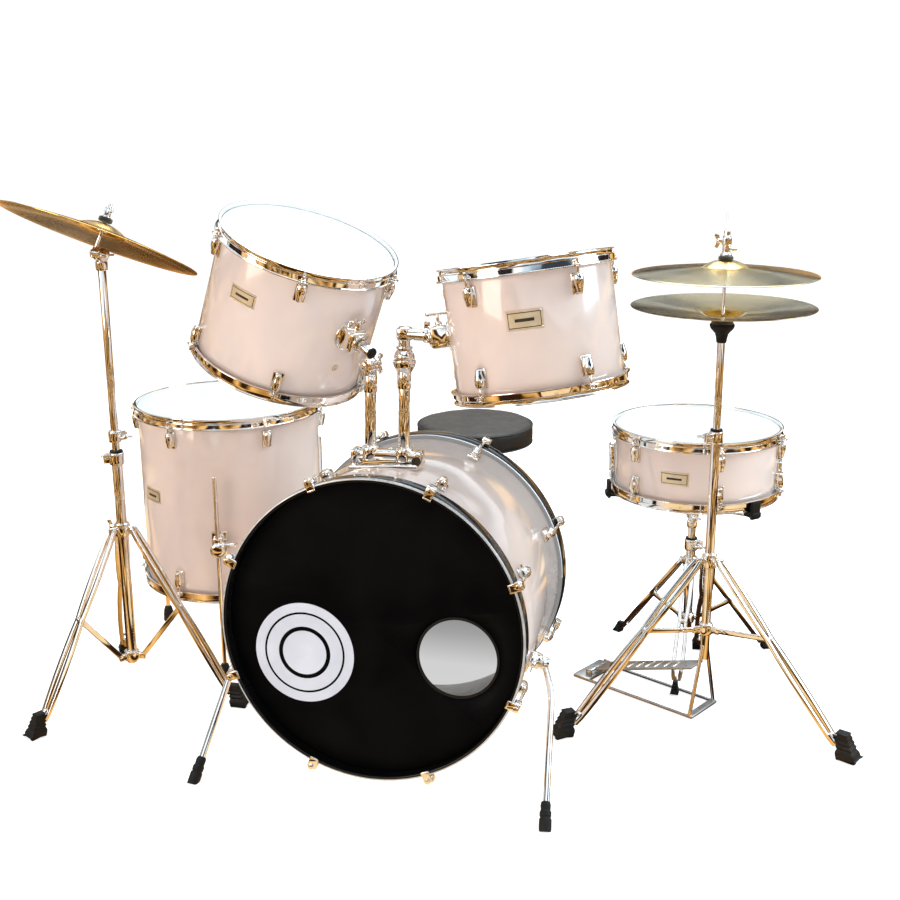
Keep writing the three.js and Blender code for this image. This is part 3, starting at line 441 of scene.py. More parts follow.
def eased(points, radius, steps=3, closed=False):
    # the same line with its corners rounded
    points = [Vector(p) for p in points]
    rounded = []
    for i, corner in enumerate(points):
        if not closed and i in (0, len(points) - 1):
            rounded.append(corner)
            continue
        before, after = points[i - 1], points[(i + 1) % len(points)]
        reach = min(radius, (before - corner).length * 0.48, (after - corner).length * 0.48)
        start = corner + (before - corner).normalized() * reach
        end = corner + (after - corner).normalized() * reach
        for step in range(steps + 1):
            t = step / steps
            rounded.append(start.lerp(corner, t).lerp(corner.lerp(end, t), t))
    return rounded


def turned(profile, steps=72, closed=False):
    # a profile of (radius, height) spun about Z
    bm = bmesh.new()
    verts = [bm.verts.new((p[0], 0, p[1])) for p in profile]
    edges = [bm.edges.new(pair) for pair in zip(verts, verts[1:])]
    if closed:
        edges.append(bm.edges.new((verts[-1], verts[0])))
    bmesh.ops.spin(bm, geom=verts + edges, cent=(0, 0, 0), axis=(0, 0, 1), dvec=(0, 0, 0),
                   angle=2 * math.pi, steps=steps, use_merge=True, use_duplicate=False)
    bmesh.ops.remove_doubles(bm, verts=bm.verts, dist=0.002)
    bmesh.ops.recalc_face_normals(bm, faces=bm.faces)
    return bm


def roundBar(length, radius, edge=0.6, steps=24):
    edge = min(edge, radius * 0.4, length * 0.4)
    return turned([(0, 0), (radius - edge, 0), (radius - edge * 0.3, edge * 0.3), (radius, edge),
                   (radius, length - edge),
                   (radius - edge * 0.3, length - edge * 0.3), (radius - edge, length), (0, length)], steps)


def roundedBox(size, edge=1.2, segments=3):
    bm = bmesh.new()
    bmesh.ops.create_cube(bm, size=1)
    bmesh.ops.scale(bm, vec=size, verts=bm.verts)
    bmesh.ops.bevel(bm, geom=bm.edges[:], offset=min(edge, min(size) * 0.45), offset_type="OFFSET",
                    affect="EDGES",
                    segments=segments, profile=0.5, material=-1)
    return bm


def pipeAlong(points, radius, detail=5):
    curve = bpy.data.curves.new("path", "CURVE")
    curve.dimensions = "3D"
    curve.bevel_depth = radius
    curve.bevel_resolution = detail
    curve.use_fill_caps = True
    spline = curve.splines.new("POLY")
    spline.points.add(len(points) - 1)
    for target, point in zip(spline.points, points):
        target.co = (*point, 1)
    holder = bpy.data.objects.new("path", curve)
    mesh = bpy.data.meshes.new_from_object(holder)
    bm = bmesh.new()
    bm.from_mesh(mesh)
    bmesh.ops.remove_doubles(bm, verts=bm.verts, dist=0.002)
    bmesh.ops.recalc_face_normals(bm, faces=bm.faces)
    bpy.data.objects.remove(holder)
    bpy.data.curves.remove(curve)
    bpy.data.meshes.remove(mesh)
    return bm


def aimed(start, end):
    # turns +Z, from the origin, into the direction from start to end
    direction = Vector(end) - Vector(start)
    return Matrix.Translation(start) @ direction.to_track_quat("Z", "Y").to_matrix().to_4x4()


def span(start, end):
    return (Vector(end) - Vector(start)).length


def newPiece(place):
    return {"bm": bmesh.new(), "finishes": [], "place": place}


def add(piece, shape, finish, at=None):
    if at is not None:
        bmesh.ops.transform(shape, matrix=at, verts=shape.verts)
    if finish not in piece["finishes"]:
        piece["finishes"].append(finish)
    for face in shape.faces:
        face.material_index = piece["finishes"].index(finish)
        face.smooth = True
    mesh = bpy.data.meshes.new("shape")
    shape.to_mesh(mesh)
    shape.free()
    piece["bm"].from_mesh(mesh)
    bpy.data.meshes.remove(mesh)


def addBar(piece, start, end, radius, finish="chromePlate", edge=0.6, steps=24):
    add(piece, roundBar(span(start, end), radius, edge, steps), finish, aimed(start, end))


def finishPiece(piece, name, body, nodes, sharp=38):
    bm = piece["bm"]
    bmesh.ops.transform(bm, matrix=piece["place"], verts=bm.verts)
    mesh = bpy.data.meshes.new(name)
    bm.to_mesh(mesh)
    bm.free()
    for finish in piece["finishes"]:
        mesh.materials.append(finishes[finish])
    mesh.set_sharp_from_angle(angle=sharp * degree)
    thing = bpy.data.objects.new(name, mesh)
    bpy.context.collection.objects.link(thing)
    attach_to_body(thing, body)
    if nodes:
        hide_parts(*nodes)
    return thing


def ringAngles(count, first):
    return [first + 360 / count * i for i in range(count)]


def wingNut(size=1.0):
    # a threaded boss along +Z with two rounded ears
    bm = turned(eased([(0, 0), (6, 0), (5, 9), (3, 12), (0, 12)], 1), 20)
    for side in (1, -1):
        ear = roundedBox((12, 3.4, 9), 1.6)
        bmesh.ops.transform(ear, matrix=shift(side * 9, 0, 11) @ Matrix.Rotation(-side * 28 * degree, 4, "Y"),
                            verts=ear.verts)
        mesh = bpy.data.meshes.new("ear")
        ear.to_mesh(mesh)
        ear.free()
        bm.from_mesh(mesh)
        bpy.data.meshes.remove(mesh)
    bmesh.ops.scale(bm, vec=(size, size, size), verts=bm.verts)
    return bm


def onRing(radius, angle, height):
    return (radius * math.cos(angle * degree), radius * math.sin(angle * degree), height)


def outAt(angle, radius, height):
    # local +Z points straight out of the shell and +Y goes up it
    turn = Matrix(((0, 0, 1), (1, 0, 0), (0, 1, 0))).to_4x4()
    return turnZ(angle) @ shift(radius, 0, height) @ turn


drums = {
    "large_tom": {
        "place": standAt(-222.3, 25.7, 874.7) @ Matrix.Rotation(8.4 * degree, 4,
            "X") @ Matrix.Rotation(19.8 * degree, 4, "Y"),
        "radius": 165, "depth": 254, "lugs": 5, "firstLug": -144, "lugInset": 36, "body": "large_tom",
        "badge": {"angle": -108, "height": 41, "width": 58, "tall": 27},
                  "vent": {"angle": -35, "height": -54},
    },
    "small_tom": {
        "place": standAt(255.4, -19.2, 852.7) @ Matrix.Rotation(-4.4 * degree, 4,
            "X") @ Matrix.Rotation(-8.8 * degree, 4, "Y"),
        "radius": 152.4, "depth": 229, "lugs": 5, "firstLug": -119, "lugInset": 44, "body": "small_tom",
        "badge": {"angle": -84, "height": 22, "width": 64, "tall": 34}, "vent": {"angle": 60, "height": 0},
    },
    "floor_tom": {
        "place": standAt(-521.5, 356, 383.5),
        "radius": 203.2, "depth": 406, "lugs": 6, "firstLug": -103, "lugInset": 43, "body": "floor_set",
        "badge": {"angle": -125, "height": 20, "width": 60, "tall": 30}, "vent": {"angle": 100, "height": 0},
    },
    "snare": {
        "place": standAt(532, 501, 485),
        "radius": 177.8, "depth": 140, "lugs": 6, "firstLug": -131, "lugInset": 36, "body": "snare_drum",
        "badge": {"angle": -101, "height": -5, "width": 62, "tall": 28}, "vent": {"angle": 90, "height": 0},
    },
}

hoopSection = [(2.0, -4.4), (2.0, 7.2), (8.0, 7.2), (8.0, 5.2), (4.0, 5.2), (4.0, -2.4), (7.4, -3.4),
               (7.4, -13.2),
               (11, -13.4), (11, -15.6), (5.3, -15.6), (5.3, -4.4)]


def lugShape():
    # a small bullet-shaped casting on an oval foot
    bm = turned(eased([(0, -19), (7.2, -17), (9.2, -9), (8.8, 0), (6.6, 8), (5.6, 15), (3.6, 17), (0, 17)],
                      2.5), 24)
    foot = roundedBox((21, 37, 4), 1.8)
    bmesh.ops.transform(bm, matrix=Matrix.Rotation(-90 * degree, 4, "X") @ Matrix.Scale(-1, 4, (0, 0, 1)),
                        verts=bm.verts)
    bmesh.ops.recalc_face_normals(bm, faces=bm.faces)
    bmesh.ops.translate(bm, vec=(0, 0, 8.5), verts=bm.verts)
    mesh = bpy.data.meshes.new("foot")
    bmesh.ops.translate(foot, vec=(0, 0, 1.6), verts=foot.verts)
    foot.to_mesh(mesh)
    foot.free()
    bm.from_mesh(mesh)
    bpy.data.meshes.remove(mesh)
    return bm


def addBadge(piece, radius, badge):
    width, tall = badge["width"], badge["tall"]
    for scaleX, scaleY, lift, finish in [
            (1, 1, 0.9, "brassPlate"), (0.9, 0.78, 1.25, "engraved"), (0.86, 0.7, 1.6, "brassPlate"),
            (0.52, 0.16, 1.9, "engraved")]:
        bm = bmesh.new()
        bmesh.ops.create_grid(bm, x_segments=14, y_segments=2, size=0.5)
        bmesh.ops.scale(bm, vec=(width * scaleX, tall * scaleY, 1), verts=bm.verts)
        made = bmesh.ops.extrude_face_region(bm, geom=bm.faces[:])
        bmesh.ops.translate(bm, vec=(0, 0, -1.8),
                            verts=[v for v in made["geom"] if isinstance(v, bmesh.types.BMVert)])
        bmesh.ops.recalc_face_normals(bm, faces=bm.faces)
        for vert in bm.verts:
            swing = vert.co.x / radius
            depth = vert.co.z
            vert.co.x = (radius + depth) * math.sin(swing)
            vert.co.z = (radius + depth) * math.cos(swing) - radius
        add(piece, bm, finish, outAt(badge["angle"], radius + lift, badge["height"]))
    for x in (-1, 1):
        for y in (-1, 1):
            angle = badge["angle"] + x * (width * 0.45 / radius) / degree
            bm = turned([(0, 1.2), (0.9, 1.0), (1.6, 0.3), (1.7, -1)], 12)
            add(piece, bm, "chromePlate", outAt(angle, radius + 1.2, badge["height"] + y * tall * 0.42))


def addTuning(piece, drum, side):
    half = drum["depth"] / 2
    for angle in ringAngles(drum["lugs"], drum["firstLug"]):
        middle = side * (half - drum["lugInset"])
        lug = lugShape()
        if side < 0:
            bmesh.ops.rotate(lug, cent=(0, 0, 0), matrix=Matrix.Rotation(math.pi, 3, "Z"), verts=lug.verts)
        add(piece, lug, "chromePlate", outAt(angle, drum["radius"], middle))
        start = onRing(drum["radius"] + 8.5, angle, middle + side * 12)
        end = onRing(drum["radius"] + 11, angle, side * (half - 9))
        addBar(piece, start, end, 2.6, steps=12)


def shellPiece(drum):
    piece = newPiece(drum["place"])
    radius, half = drum["radius"], drum["depth"] / 2
    wall = turned([(radius - 6, -half + 5), (radius - 2, -half), (radius - 0.6, -half + 0.8),
                   (radius, -half + 2),
                   (radius, half - 2), (radius - 0.6, half - 0.8), (radius - 2, half),
                   (radius - 6, half - 5)],
                  112, closed=True)
    add(piece, wall, "pearlWrap")
    addTuning(piece, drum, 1)
    addTuning(piece, drum, -1)
    addBadge(piece, radius, drum["badge"])
    vent = drum["vent"]
    add(piece, turned(eased([(2.6, -1), (2.6, 1.4), (5.4, 1.8), (7, 0.3), (7, -1)], 0.5), 28), "brassPlate",
        outAt(vent["angle"], radius, vent["height"]))
    return piece


def hoopPiece(drum, side, piece=None):
    piece = piece or newPiece(drum["place"])
    radius, half = drum["radius"], drum["depth"] / 2
    section = [(radius + r, side * (half + z)) for r, z in hoopSection]
    add(piece, turned(eased(section, 0.9, 2, closed=True), 112, closed=True), "chromePlate")
    for angle in ringAngles(drum["lugs"], drum["firstLug"]):
        add(piece, roundedBox((14, 17, 2.6), 1.2), "chromePlate",
            turnZ(angle) @ shift(radius + 12, 0, side * (half - 12)))
        washer = onRing(radius + 11.4, angle, side * (half - 11))
        top = onRing(radius + 11.6, angle, side * (half - 7.5))
        head = onRing(radius + 11.8, angle, side * (half - 0.5))
        addBar(piece, washer, top, 5.2, edge=0.8, steps=20)
        addBar(piece, top, head, 3.4, edge=0.8, steps=4 if side > 0 else 12)
    return piece


def filmPiece(drum, side, piece=None):
    piece = piece or newPiece(drum["place"])
    radius, half = drum["radius"], drum["depth"] / 2
    section = [(0, 1.1), (radius * 0.5, 1.15), (radius - 6, 1.1), (radius - 1.5, 0.9), (radius + 0.4, 0.3),
               (radius + 1.3, -0.8),
               (radius + 1.3, -5), (radius + 4.6, -5), (radius + 4.6, -10), (radius + 0.6, -10),
               (radius + 0.6, -1),
               (radius - 1.6, 0.25), (radius - 6, 0.4), (0, 0.4)]
    add(piece, turned([(r, side * (half + z)) for r, z in section], 112), "coatedFilm")
    return piece


def buildDrum(name, drum, extra=None):
    shell = shellPiece(drum)
    if extra:
        extra(shell, drum)
    finishPiece(shell, f"{name}Shell", drum["body"], [f"{name}_shell"])
    finishPiece(hoopPiece(drum, 1), f"{name}TopHoop", drum["body"], [f"{name}_top_hoop"])
    finishPiece(filmPiece(drum, 1), f"{name}TopHead", drum["body"], [f"{name}_top_head"])
    bottom = filmPiece(drum, -1)
    hoopPiece(drum, -1, bottom)
    finishPiece(bottom, f"{name}BottomHead", drum["body"], [f"{name}_bottom_head"])


tomBrackets = {
    "large_tom": {"angle": -31.8, "height": 15, "plate": 31},
    "small_tom": {"angle": -172, "height": 2, "plate": 27},
}


def addTomBracket(name):
    bracket = tomBrackets[name]

    def attach(piece, drum):
        at = outAt(bracket["angle"], drum["radius"], bracket["height"])
        plate = turned(eased([(0, 5), (bracket["plate"] * 0.7, 5), (bracket["plate"], 2.5),
                              (bracket["plate"], -3), (0, -3)], 2), 40)
        add(piece, plate, "chromePlate", at)
        add(piece, roundedBox((40, 40, 33), 5), "chromePlate", at @ shift(0, 0, 17.5))
        add(piece, turned(eased([(12, 0), (17, 0), (17, 7), (12, 7)], 1.5, closed=True), 32, closed=True),
            "chromePlate",
            at @ shift(0, 0, 31))
        add(piece, roundBar(10, 6.5, 1.5), "chromePlate",
            at @ shift(0, 18, 18) @ Matrix.Rotation(-90 * degree, 4, "X"))
        if name == "small_tom":
            add(piece, roundBar(16, 3), "chromePlate",
                at @ shift(0, 26, 18) @ Matrix.Rotation(-90 * degree, 4, "X"))
            add(piece, pipeAlong([(0, 43, 1), (0, 43, 35)], 3.8), "chromePlate", at)
            for reach in (1, 35):
                add(piece, turned(eased([(0, 0), (5.4, 1), (5.4, 7), (0, 8)], 2), 20), "chromePlate",
                    at @ shift(0, 47, reach) @ Matrix.Rotation(90 * degree, 4, "X"))
        else:
            add(piece, wingNut(), "chromePlate",
                at @ shift(0, 26, 18) @ Matrix.Rotation(-90 * degree, 4, "X"))
    return attach


def addLegBrackets(piece, drum):
    for angle in ringAngles(3, -75):
        at = outAt(angle, drum["radius"], -70)
        add(piece, roundedBox((34, 58, 5), 2), "chromePlate", at @ shift(0, 0, 1.5))
        add(piece, roundedBox((22, 46, 24), 6), "chromePlate", at @ shift(0, 0, 16))
        add(piece, turned(eased([(0, 22), (14, 22), (17, 26), (17, 31), (12, 35), (0, 36)], 2.5), 36),
            "chromePlate", at @ shift(0, -6, 0))
        add(piece, roundBar(18, 5, 1), "chromePlate",
            at @ shift(10, 4, 22) @ Matrix.Rotation(90 * degree, 4, "Y"))
        add(piece, wingNut(1.1), "chromePlate", at @ shift(22, 4, 22) @ Matrix.Rotation(90 * degree, 4, "Y"))


def addStrainer(piece, drum):
    at = outAt(180, drum["radius"], -12)
    for side in (1, -1):
        add(piece, roundedBox((9, 56, 14), 2.5), "chromePlate", at @ shift(side * 11.5, 0, 6.5))
    add(piece, roundedBox((30, 12, 12), 3), "chromePlate", at @ shift(0, -24, 7))
    addBar(piece, onRing(drum["radius"] + 9, 180, -60), onRing(drum["radius"] + 9, 180, -36), 4)
    butt = outAt(0, drum["radius"], -16)
    add(piece, roundedBox((38, 38, 10), 3), "chromePlate", butt @ shift(0, 0, 4))
    for side in (1, -1):
        add(piece, roundBar(5, 3.2, 0.8), "chromePlate", butt @ shift(side * 9, -6, 8))


buildDrum("large_tom", drums["large_tom"], addTomBracket("large_tom"))
buildDrum("small_tom", drums["small_tom"], addTomBracket("small_tom"))
buildDrum("floor_tom", drums["floor_tom"], addLegBrackets)
buildDrum("snare", drums["snare"], addStrainer)

leverPiece = newPiece(drums["snare"]["place"])
leverFoot = Vector((-186.8, 0, -26))
add(leverPiece, roundedBox((5, 10, 48), 2), "chromePlate",
    Matrix.Translation(leverFoot + Vector((-2.5, 0, 23)))
    @ Matrix.Rotation(-6 * degree, 4, "Y"))
addBar(leverPiece, leverFoot - Vector((0, 5, 0)), leverFoot + Vector((0, 5, 0)), 3.6)
finishPiece(leverPiece, "throwOffLever", "snare_lever", ["snare_throw_off_lever"])

floorLeg = {"radius": 5, "circle": 226, "top": 90}
for i, angle in enumerate(ringAngles(3, -75), 1):
    leg = newPiece(drums["floor_tom"]["place"])
    addBar(leg, onRing(floorLeg["circle"], angle, -379), onRing(floorLeg["circle"], angle, floorLeg["top"]),
           floorLeg["radius"], edge=1.5)
    foot = turned(eased([(0, 0), (12.5, 0), (13, 4), (12, 12), (12.6, 14), (11.4, 22), (11.8, 24), (8, 37),
                         (0, 38)], 1), 32)
    add(leg, foot, "blackRubber", Matrix.Translation(onRing(floorLeg["circle"], angle, -383.5)))
    finishPiece(leg, f"floorTomLeg{i}", f"floor_leg_{i}", [f"floor_tom_leg_{i}"])
print("toms, floor tom and snare drum ready")

bass = {"radius": 278.4, "wall": 7.5, "half": 203, "hoopOuter": 288, "hoopFace": 231, "hoopBack": 196,
        "claws": 8, "firstClaw": 22.5, "portX": 160, "portY": -41, "portRadius": 75, "emblemX": -135,
        "emblemY": -61.5}


def bassShellPiece():
    piece = newPiece(bassFrame)
    outer, inner, half = bass["radius"], bass["radius"] - bass["wall"], bass["half"]
    add(piece, turned([(inner + 2, -half), (outer - 1, -half), (outer, -half + 1.5), (outer, half - 1.5),
                       (outer - 1, half),
                       (inner + 2, half)], 144), "pearlWrap")
    add(piece, turned([(inner + 2, half), (inner, half - 4), (inner, -half + 4), (inner + 2, -half)], 144),
        "mapleInside")
    for side in (1, -1):
        for angle in ringAngles(bass["claws"], bass["firstClaw"]):
            lug = lugShape()
            bmesh.ops.scale(lug, vec=(1.15, 1.05, 1.3), verts=lug.verts)
            if side < 0:
                bmesh.ops.rotate(lug, cent=(0, 0, 0), matrix=Matrix.Rotation(math.pi, 3, "Z"),
                                 verts=lug.verts)
            add(piece, lug, "chromePlate", outAt(angle, outer, side * 135))
    for side, angle in ((1, -17.2), (-1, 197.2)):
        at = outAt(angle, outer, 62)
        add(piece, roundedBox((46, 42, 6), 2.4), "chromePlate", at @ shift(0, 0, 2))
        add(piece, turned(eased([(10, -2), (17, -2), (16, 18), (14.5, 23), (10, 23)], 2, closed=True), 40,
                          closed=True), "chromePlate", at)
        add(piece, wingNut(1.0), "chromePlate", at @ shift(0, 16, 12) @ Matrix.Rotation(-90 * degree, 4, "X"))
    return piece


def bassHoopPiece(side):
    piece = newPiece(bassFrame @ Matrix.Scale(side, 4, (0, 0, 1)))
    inner, outer, back, face = bass["radius"] + 2, bass["hoopOuter"], bass["hoopBack"], bass["hoopFace"]
    add(piece, turned(eased([(inner, back), (outer, back), (outer, face), (inner, face)], 2, 3, closed=True),
                      144, closed=True),
        "blackLacquer")
    # painted highlight: a thin pale grey ring round the hoop's front outer corner stands in for the light
    # caught along that edge
    add(piece, turned([(outer - 3.2, face + 0.3), (outer - 1.2, face + 0.1), (outer - 0.5, face - 0.5),
                       (outer + 0.25, face - 1.8),
                       (outer + 0.25, face - 3.4), (outer - 1.4, face - 3), (outer - 3.2, face - 1)], 144,
                      closed=True), "paintedEdgeHighlight")
    for angle in ringAngles(bass["claws"], bass["firstClaw"]):
        at = turnZ(angle)
        add(piece, roundedBox((14, 19, 20), 3), "chromePlate", at @ shift(outer + 8, 0, face - 9))
        add(piece, roundedBox((22, 17, 4.5), 1.8), "chromePlate", at @ shift(outer + 1, 0, face + 1.6))
        add(piece, roundedBox((4, 17, 10), 1.6), "chromePlate", at @ shift(outer - 8.5, 0, face - 0.5))
        addBar(piece, onRing(outer + 9, angle, 150), onRing(outer + 9, angle, face + 6), 3.1, steps=16)
        addBar(piece, onRing(outer + 9, angle, face + 1), onRing(outer + 9, angle, face + 8), 5, edge=1.2,
               steps=20)
    for face3d in piece["bm"].faces:
        if side < 0:
            face3d.normal_flip()
    return piece


def bassFilm(side, finish):
    piece = newPiece(bassFrame @ Matrix.Scale(side, 4, (0, 0, 1)))
    half, radius = bass["half"], bass["radius"]
    section = [(0, half + 1.1), (radius * 0.5, half + 1.1), (radius - 6, half + 1.1),
               (radius + 0.2, half + 0.4), (radius + 1.2, half - 1), (radius + 1.2, 195.6),
               (radius + 7.4, 195.6), (radius + 7.4, 188.6), (radius + 0.4, 188.6), (radius + 0.4, half - 1),
               (radius - 6, half + 0.4), (0, half + 0.4)]
    film = turned(section, 144)
    if side < 0:
        for face in film.faces:
            face.normal_flip()
    add(piece, film, finish)
    return piece


def cutRound(thing, centre, radius, depth):
    # a round hole through a finished piece, cut by a boolean that is then applied
    cutter = newPiece(bassFrame)
    add(cutter, turned([(0, -depth), (radius, -depth), (radius, depth), (0, depth)], 96), "blackLacquer",
        shift(*centre))
    bm = cutter["bm"]
    bmesh.ops.transform(bm, matrix=cutter["place"], verts=bm.verts)
    mesh = bpy.data.meshes.new("cutter")
    bm.to_mesh(mesh)
    bm.free()
    tool = bpy.data.objects.new("cutter", mesh)
    bpy.context.collection.objects.link(tool)
    cut = thing.modifiers.new("hole", "BOOLEAN")
    cut.operation = "DIFFERENCE"
    cut.solver = "EXACT"
    cut.object = tool
    bpy.context.view_layer.update()
    shaped = bpy.data.meshes.new_from_object(thing.evaluated_get(bpy.context.evaluated_depsgraph_get()))
    thing.modifiers.remove(cut)
    old = thing.data
    shaped.name = old.name
    thing.data = shaped
    bpy.data.objects.remove(tool)
    bpy.data.meshes.remove(old)


finishPiece(bassShellPiece(), "bassShell", "floor_set", ["bass_shell"])
finishPiece(bassHoopPiece(1), "bassFrontHoop", "floor_set", ["bass_front_hoop"])
finishPiece(bassHoopPiece(-1), "bassRearHoop", "floor_set", ["bass_rear_hoop"])
frontHead = finishPiece(bassFilm(1, "blackFilm"), "bassFrontHead", "floor_set", ["bass_front_head"])
cutRound(frontHead, (bass["portX"], bass["portY"], bass["half"]), bass["portRadius"], 6)
# painted glow and painted shade on the batter head's inner face
finishPiece(bassFilm(-1, "paintedGlowFilm"), "bassBatterHead", "floor_set", ["bass_batter_head"])

trim = newPiece(bassFrame)
add(trim, turned(eased([(72.6, 203), (75.4, 203), (78, 204.8), (77.4, 206), (72.6, 206)], 0.6, closed=True),
                 96, closed=True), "blackRubber",
    shift(bass["portX"], bass["portY"], 0))
finishPiece(trim, "portRing", "floor_set", [])
emblem = newPiece(bassFrame)
emblemAt = shift(bass["emblemX"], bass["emblemY"], bass["half"] + 1.1)
for inner, outer in ((79, 97), (51, 75), (0, 43)):
    disc = turned([(inner, 0.05), (inner, 0.35), (outer, 0.35), (outer, 0.05)], 96, closed=inner > 0)
    add(emblem, disc, "paleDecal", emblemAt)
finishPiece(emblem, "roundEmblem", "floor_set", [])

spur = {"radius": 6.5}
toBass = bassFrame.inverted() @ kitFrame
for side, name in ((1, "right"), (-1, "left")):
    piece = newPiece(bassFrame)
    out = Vector((side * 284, -88, 0)).normalized()
    along = Vector((0, 0, 62))
    addBar(piece, out * (bass["radius"] + 7) + along, out * (bass["radius"] + 33) + along, 9.4, edge=1.2)
    addBar(piece, out * (bass["radius"] + 24) + along, out * (bass["radius"] + 39) + along, 13, edge=2.5,
           steps=32)
    knuckle = out * (bass["radius"] + 31) + along
    knee = toBass @ Vector((side * 318, -118, 178))
    sole = toBass @ Vector((side * 337.3, -280, 7))
    add(piece, pipeAlong(eased([knuckle, knee, sole], 26, 8), spur["radius"], 7), "chromePlate")
    start = toBass @ Vector((side * 333.5, -256, 36))
    end = toBass @ Vector((side * 339, -292, -4))
    foot = turned(eased([(0, 0), (8, 0), (9.5, 6), (9, 16), (10.8, 18), (10.8, 26), (9.4, 28), (11.4, 31),
                         (11.4, 54), (0, 54)], 1), 32)
    bmesh.ops.transform(foot, matrix=bassFrame @ aimed(start, end), verts=foot.verts)
    cut = bmesh.ops.bisect_plane(foot, geom=foot.verts[:] + foot.edges[:] + foot.faces[:],
                                 plane_co=(0, 0, 0.0002),
                                 plane_no=(0, 0, -1), clear_outer=True)
    bmesh.ops.contextual_create(foot, geom=[e for e in cut["geom_cut"] if isinstance(e, bmesh.types.BMEdge)])
    bmesh.ops.transform(foot, matrix=bassFrame.inverted(), verts=foot.verts)
    add(piece, foot, "blackRubber")
    finishPiece(piece, f"bassSpur{name.capitalize()}", f"spur_{name}", [f"bass_spur_{name}"])
print("bass drum ready")

mount = {"x": -16, "front": 66, "spacing": 66, "top": 300, "postRadius": 11}
largeX = mount["x"] - mount["spacing"] / 2
smallX = mount["x"] + mount["spacing"] / 2
largePivot = Vector((largeX, 466, mount["front"]))
smallPivot = Vector((smallX, 483, mount["front"]))


def inBass(name, angle, out, height):
    drum = drums[name]
    return bassFrame.inverted() @ drum["place"] @ Vector(onRing(drum["radius"] + out, angle, height))


base = newPiece(bassFrame)
saddle = roundedBox((134, 10, 62), 3)
for vert in saddle.verts:
    vert.co.y -= (vert.co.x + mount["x"]) ** 2 / (2 * bass["radius"])
add(base, saddle, "chromePlate", shift(mount["x"], 284.5, mount["front"]))
add(base, roundedBox((126, 20, 27), 7), "chromePlate", shift(mount["x"], 296, mount["front"]))
for x in (-76, 47):
    add(base, roundedBox((15, 32, 34), 4), "chromePlate", shift(x, 291, mount["front"] + 4))
for x in (largeX, smallX):
    add(base, turned(eased([(11.3, -14), (18.5, -14), (17.5, 8), (15, 12), (11.3, 12)], 2.5, closed=True), 36,
                     closed=True), "chromePlate",
        shift(x, mount["top"], mount["front"]) @ Matrix.Rotation(-90 * degree, 4, "X"))
add(base, wingNut(1.1), "chromePlate", shift(mount["x"], 299,
                                             mount["front"] - 20) @ Matrix.Rotation(180 * degree, 4, "X"))
add(base, turned(eased([(0, 1), (6, 1), (9, 3), (9, 0), (0, 0)], 0.8), 24), "engraved",
    shift(47, 291, mount["front"] + 20.6))
finishPiece(base, "tomMountBase", "floor_set", ["tom_mount_base"])

hingeAxis = Vector((0.38, 0, -0.925)).normalized()
post = newPiece(bassFrame)
addBar(post, (largeX, 293, mount["front"]), (largeX, 450, mount["front"]), mount["postRadius"], edge=1)
addBar(post, (largeX, 414, mount["front"]), (largeX, 447, mount["front"]), 13.2, edge=2.4, steps=32)
for side in (1, -1):
    addBar(post, largePivot + hingeAxis * side * 7.2, largePivot + hingeAxis * side * 14.5, 14.6, edge=2,
           steps=36)
    addBar(post, Vector((largeX, 446, mount["front"])) + hingeAxis * side * 10.6,
           largePivot + hingeAxis * side * 10.6, 5.5, edge=1)
add(post, wingNut(1.3), "chromePlate", aimed(largePivot + hingeAxis * 14, largePivot + hingeAxis * 40))
add(post, roundBar(9, 7.5, 1.5, 6), "chromePlate",
    aimed(largePivot - hingeAxis * 14, largePivot - hingeAxis * 40))
finishPiece(post, "largeTomPost", "large_post", ["large_tom_post"])

arm = newPiece(bassFrame)
largeIn = inBass("large_tom", -31.8, 8, 15)
largeElbow = inBass("large_tom", -31.8, 62, 15)
neck = largePivot + Vector((0, 23, 2))
addBar(arm, largePivot - hingeAxis * 6.4, largePivot + hingeAxis * 6.4, 13.8, edge=1, steps=36)
addBar(arm, largePivot - hingeAxis * 18, largePivot + hingeAxis * 18, 4, edge=0.8)
add(arm, pipeAlong(eased([largePivot, neck, largeElbow], 12, 6), 6.2, 6), "chromePlate")
outward = (largeElbow - largeIn).normalized()
addBar(arm, largeIn, largeElbow + outward * 6, 10, edge=1.2, steps=32)
addBar(arm, largeElbow + outward * 5, largeElbow + outward * 11, 10.4, "blackRubber", edge=2, steps=32)
finishPiece(arm, "largeTomArm", "large_tom", ["large_tom_arm"])

post = newPiece(bassFrame)
addBar(post, (smallX, 293, mount["front"]), (smallX, 458, mount["front"]), mount["postRadius"], edge=1)
addBar(post, (smallX, 424, mount["front"]), (smallX, 458, mount["front"]), 13.4, edge=2.6, steps=32)
socket = turned(eased([(11, 456), (14, 456), (19.6, 466), (21.6, 473), (21.4, 478), (20.2, 478), (18, 471),
                       (12, 464), (11, 462)], 1.2, closed=True),
                48, closed=True)
add(post, socket, "chromePlate", shift(smallX, 0, mount["front"]) @ Matrix.Rotation(-90 * degree, 4, "X"))
finishPiece(post, "smallTomPost", "small_post", ["small_tom_post"])

arm = newPiece(bassFrame)
smallIn = inBass("small_tom", -172, 8, 2)
smallElbow = Vector((smallX, smallIn[1], mount["front"]))
sphere = bmesh.new()
bmesh.ops.create_uvsphere(sphere, u_segments=48, v_segments=28, radius=19.4)
add(arm, sphere, "chromePlate", Matrix.Translation(smallPivot))
add(arm, pipeAlong(eased([smallPivot, smallElbow, smallIn], 11, 8), 11, 7), "chromePlate")
add(arm, roundedBox((27, 27, 25), 6), "chromePlate", Matrix.Translation(smallElbow + Vector((0, 0.5, 0))))
addBar(arm, smallPivot + Vector((0, 15, 0)), smallPivot + Vector((0, 21, 0)), 15.5, edge=2, steps=40)
lock = smallElbow.lerp(smallIn, 0.55)
along = (smallIn - smallElbow).normalized()
addBar(arm, lock - along * 5, lock + along * 5, 14.4, edge=2, steps=32)
addBar(arm, lock + Vector((0, 11, 0)), lock + Vector((0, 25, 0)), 6, edge=1.4, steps=6)
